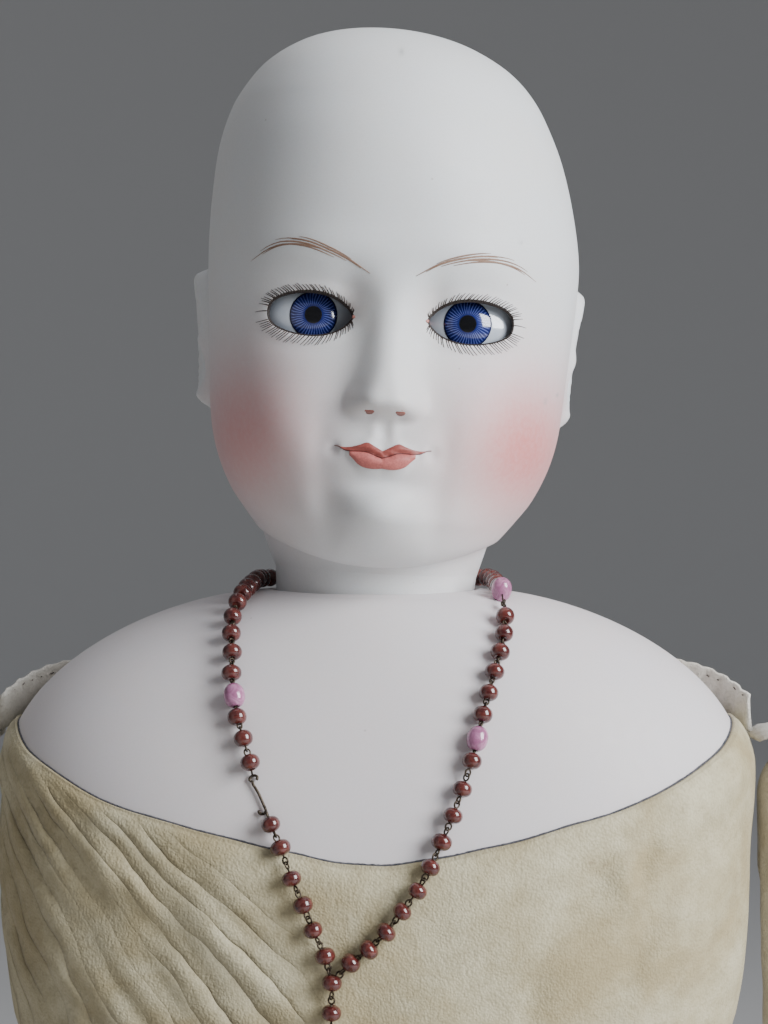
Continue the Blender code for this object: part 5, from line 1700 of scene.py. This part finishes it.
def remeshed(name, gathered, voxel, rounds, material):
    """One smooth skin round many overlapping closed shapes."""
    rough = face_outward(add_mesh(name + "_rough", gathered.points, gathered.faces, material))
    skin = rough.modifiers.new("skin", "REMESH")
    skin.mode = "VOXEL"
    skin.voxel_size = voxel
    soft = rough.modifiers.new("soft", "SMOOTH")
    soft.factor = 0.5
    soft.iterations = rounds
    graph = bpy.context.evaluated_depsgraph_get()
    mesh = bpy.data.meshes.new_from_object(rough.evaluated_get(graph))
    bpy.data.objects.remove(rough)
    mesh.shade_smooth()
    mesh.materials.clear()
    mesh.materials.append(material)
    return add_object(name, mesh)


def finger(group, path, radii):
    """Chain of round segments for one finger."""
    route = smooth_route([Vector(p) for p in path], 5)
    radii = np.interp(np.linspace(0.0, 1.0, len(route)), np.linspace(0.0, 1.0, len(radii)), radii)
    points = []
    run = (route[-1] - route[0]).normalized()
    side = run.orthogonal().normalized()
    other = run.cross(side)
    rings = [(route[0] - run * radii[0] * 0.6, radii[0] * 0.6)] + list(zip(route, radii))
    for ahead, share in ((0.45, 0.88), (0.80, 0.58), (0.97, 0.2)):
        rings.append((route[-1] + run * radii[-1] * ahead, radii[-1] * share))
    for centre, radius in rings:
        points += [centre + (side * math.cos(a) + other * math.sin(a)) * radius for a in full_turn(14)]
    group.take(points, capped_faces(len(rings), 14))


# place across the hand, fraction from elbow to fingertip where it ends, radius
FINGERS = (
    (-0.0063, 0.965, 0.00190), (-0.0022, 0.987, 0.00205), (0.0021, 0.975, 0.00205), (0.0062, 0.945, 0.00175),
)


def bisque_forearm(side, word):
    """Bisque lower arm with a modelled hand, palm towards the body."""
    elbow, tip = mirrored(ELBOW, side), mirrored(HAND_TIP, side)
    grid = limb_grid(elbow, tip, FOREARM, 0.68, columns=64, rows=60)[0]
    group = Gather()
    group.take([Vector(p) for p in grid.reshape(-1, 3)], capped_faces(len(grid), 64))
    course = (tip - elbow).normalized()
    thin = Vector((1.0, 0.0, 0.0))
    thin = (thin - course * thin.dot(course)).normalized() * side
    broad = thin.cross(course) * side
    length = (tip - elbow).length

    def at(t, across, out=0.0):
        return elbow + course * (length * t) + broad * across + thin * out

    for across in (-0.0052, -0.0018, 0.0018, 0.0052):
        palm = [at(0.64, across * 0.7), at(0.74, across * 0.98), at(0.83, across * 1.05)]
        finger(group, palm, (0.0047, 0.0044, 0.0036))
    for across, reach, radius in FINGERS:
        path = [at(0.81, across * 0.94), at(0.88, across, 0.0004), at(reach, across * 1.06, -0.0012)]
        finger(group, path, (radius * 1.12, radius * 1.04, radius, radius * 0.92))
    thumb = [at(0.70, -0.0055, -0.0008), at(0.77, -0.0088, -0.0016), at(0.865, -0.0092, -0.0022)]
    finger(group, thumb, (0.0034, 0.0027, 0.0022, 0.0019))
    arm = remeshed(word + "_bisque_arm", group, 0.00048, 6, BISQUE_ARM)
    settle(arm, word + "_lower_arm", "bisque", word + "_forearm")


# x and height of the kid strip that carries each arm
SHOULDER_STRIP = (
    (0.0796, 0.2526), (0.0825, 0.2537), (0.0860, 0.2545), (0.0900, 0.2547), (0.0940, 0.2545),
    (0.0980, 0.2536), (0.1008, 0.2526),
)


def build_limbs():
    """Both legs, both arms, and the strips that the arms hang from."""
    for side, word in SIDES:
        hip, knee, ankle = (mirrored(p, side) for p in (HIP, KNEE, ANKLE))
        kid_limb(word + "_kid_thigh", hip, knee, THIGH, 0.97, word + "_upper_leg", word + "_thigh",
                 (knee, KNEE_R + SOCKET_PLAY))
        kid_limb(word + "_kid_shin", knee, ankle, SHIN, 1.0, word + "_lower_leg", word + "_shin",
                 rise=SHIN_RISE)
        kid_foot(side, word)
        shoulder, elbow = mirrored(SHOULDER, side), mirrored(ELBOW, side)
        kid_limb(word + "_kid_arm", shoulder, elbow, UPPER_ARM, 0.97, word + "_arm", word + "_upper_arm",
                 (elbow, ELBOW_R + SOCKET_PLAY), kid=ARM_KID, depth=0.0003)
        bisque_forearm(side, word)
        strip = Gather()
        places = [(Vector((side * x, 0.0015, z)), (0.0, 1.0, 0.0)) for x, z in SHOULDER_STRIP]
        strip.take(*strip_points(places, 0.0206, 0.0012))
        strip.build(word + "_shoulder_strip", WHITE_KID, word + "_shoulder", "white_kid",
                    word + "_shoulder_tab")


def finish_cad_pieces():
    """Materials for the CAD pieces whose shapes are already right."""
    looks = (
        (CORK, ("crown_pate",)),
        (WOOD, ("neck_button",)),
        (STEEL, ("neck_bolt", "spring_washer", "neck_spring", "wing_nut")),
        (WHITE_KID, ("neck_socket_liner",)),
        (PLASTER, ("left_eye_plaster", "right_eye_plaster")),
    )
    for material, nodes in looks:
        for node in nodes:
            for slot in bpy.data.objects[node].material_slots:
                slot.material = material


# ---------------------------------------------------------------- stage and camera
LIGHT_AIM = Vector((0.0, 0.0, 0.26))
FLOOR_FLAT = 2.6                             # radius of the floor's flat part
FLOOR_BEND = 1.4                             # radius of the curve up to its wall
FLOOR_HEIGHT = 2.4
FLOOR_SIDES = 96


def area_light(name, place, size, power, colour=(1.0, 1.0, 1.0)):
    light = bpy.data.lights.new(name, "AREA")
    light.shape = "RECTANGLE"
    light.size, light.size_y = size
    light.energy = power
    light.color = colour
    obj = add_object(name, light)
    obj.location = place
    obj.rotation_euler = (LIGHT_AIM - Vector(place)).to_track_quat("-Z", "Y").to_euler()


def build_stage():
    """Camera at the photograph's view, pale floor that curves up all round, soft light from the right."""
    camera = bpy.data.cameras.new("camera")
    camera.lens = LENS
    camera.clip_start = 0.01
    holder = add_object("camera", camera)
    holder.location = CAMERA
    holder.rotation_euler = (math.radians(90.0), 0.0, 0.0)
    bpy.context.scene.camera = holder
    n = Nodes("pale_floor")
    pale = n.set(Base_Color=(0.62, 0.61, 0.60), Roughness=0.85)
    profile = [(0.05, 0.0), (0.6, 0.0), (1.6, 0.0)]
    for angle in np.linspace(0.0, 0.5 * math.pi, 13):
        profile.append((FLOOR_FLAT + FLOOR_BEND * math.sin(angle), FLOOR_BEND * (1.0 - math.cos(angle))))
    profile.append((FLOOR_FLAT + FLOOR_BEND, FLOOR_HEIGHT))
    turn = full_turn(FLOOR_SIDES)
    points = np.concatenate([polar(turn, radius, z - 0.0002) for radius, z in profile])
    faces = grid_faces(len(profile), FLOOR_SIDES) + [tuple(reversed(range(FLOOR_SIDES)))]
    add_mesh("floor", points, faces, pale)
    area_light("window", (0.66, -0.50, 0.60), (0.45, 0.62), 16.5, (0.94, 0.97, 1.0))
    area_light("fill", (-0.9, -0.8, 0.45), (0.9, 0.9), 0.8, (1.0, 0.96, 0.92))
    area_light("top", (0.1, 0.3, 1.2), (0.8, 0.8), 3.0)
    world = bpy.data.worlds.new("room")
    bpy.context.scene.world = world
    world.use_nodes = True
    background = world.node_tree.nodes["Background"]
    background.inputs["Color"].default_value = (0.60, 0.63, 0.68, 1.0)
    background.inputs["Strength"].default_value = 0.36


# ---------------------------------------------------------------- assembly
build_stage()
head = settle(build_head(), "head", "bisque", "head_shell")
HEAD_TREE = BVHTree.FromPolygons(
    [v.co for v in head.data.vertices], [p.vertices[:] for p in head.data.polygons]
)
build_paint()
build_eyes()
plate = build_plate()
kid = build_torso()
build_yokes()
build_necklace((plate, kid))
build_limbs()
finish_cad_pieces()
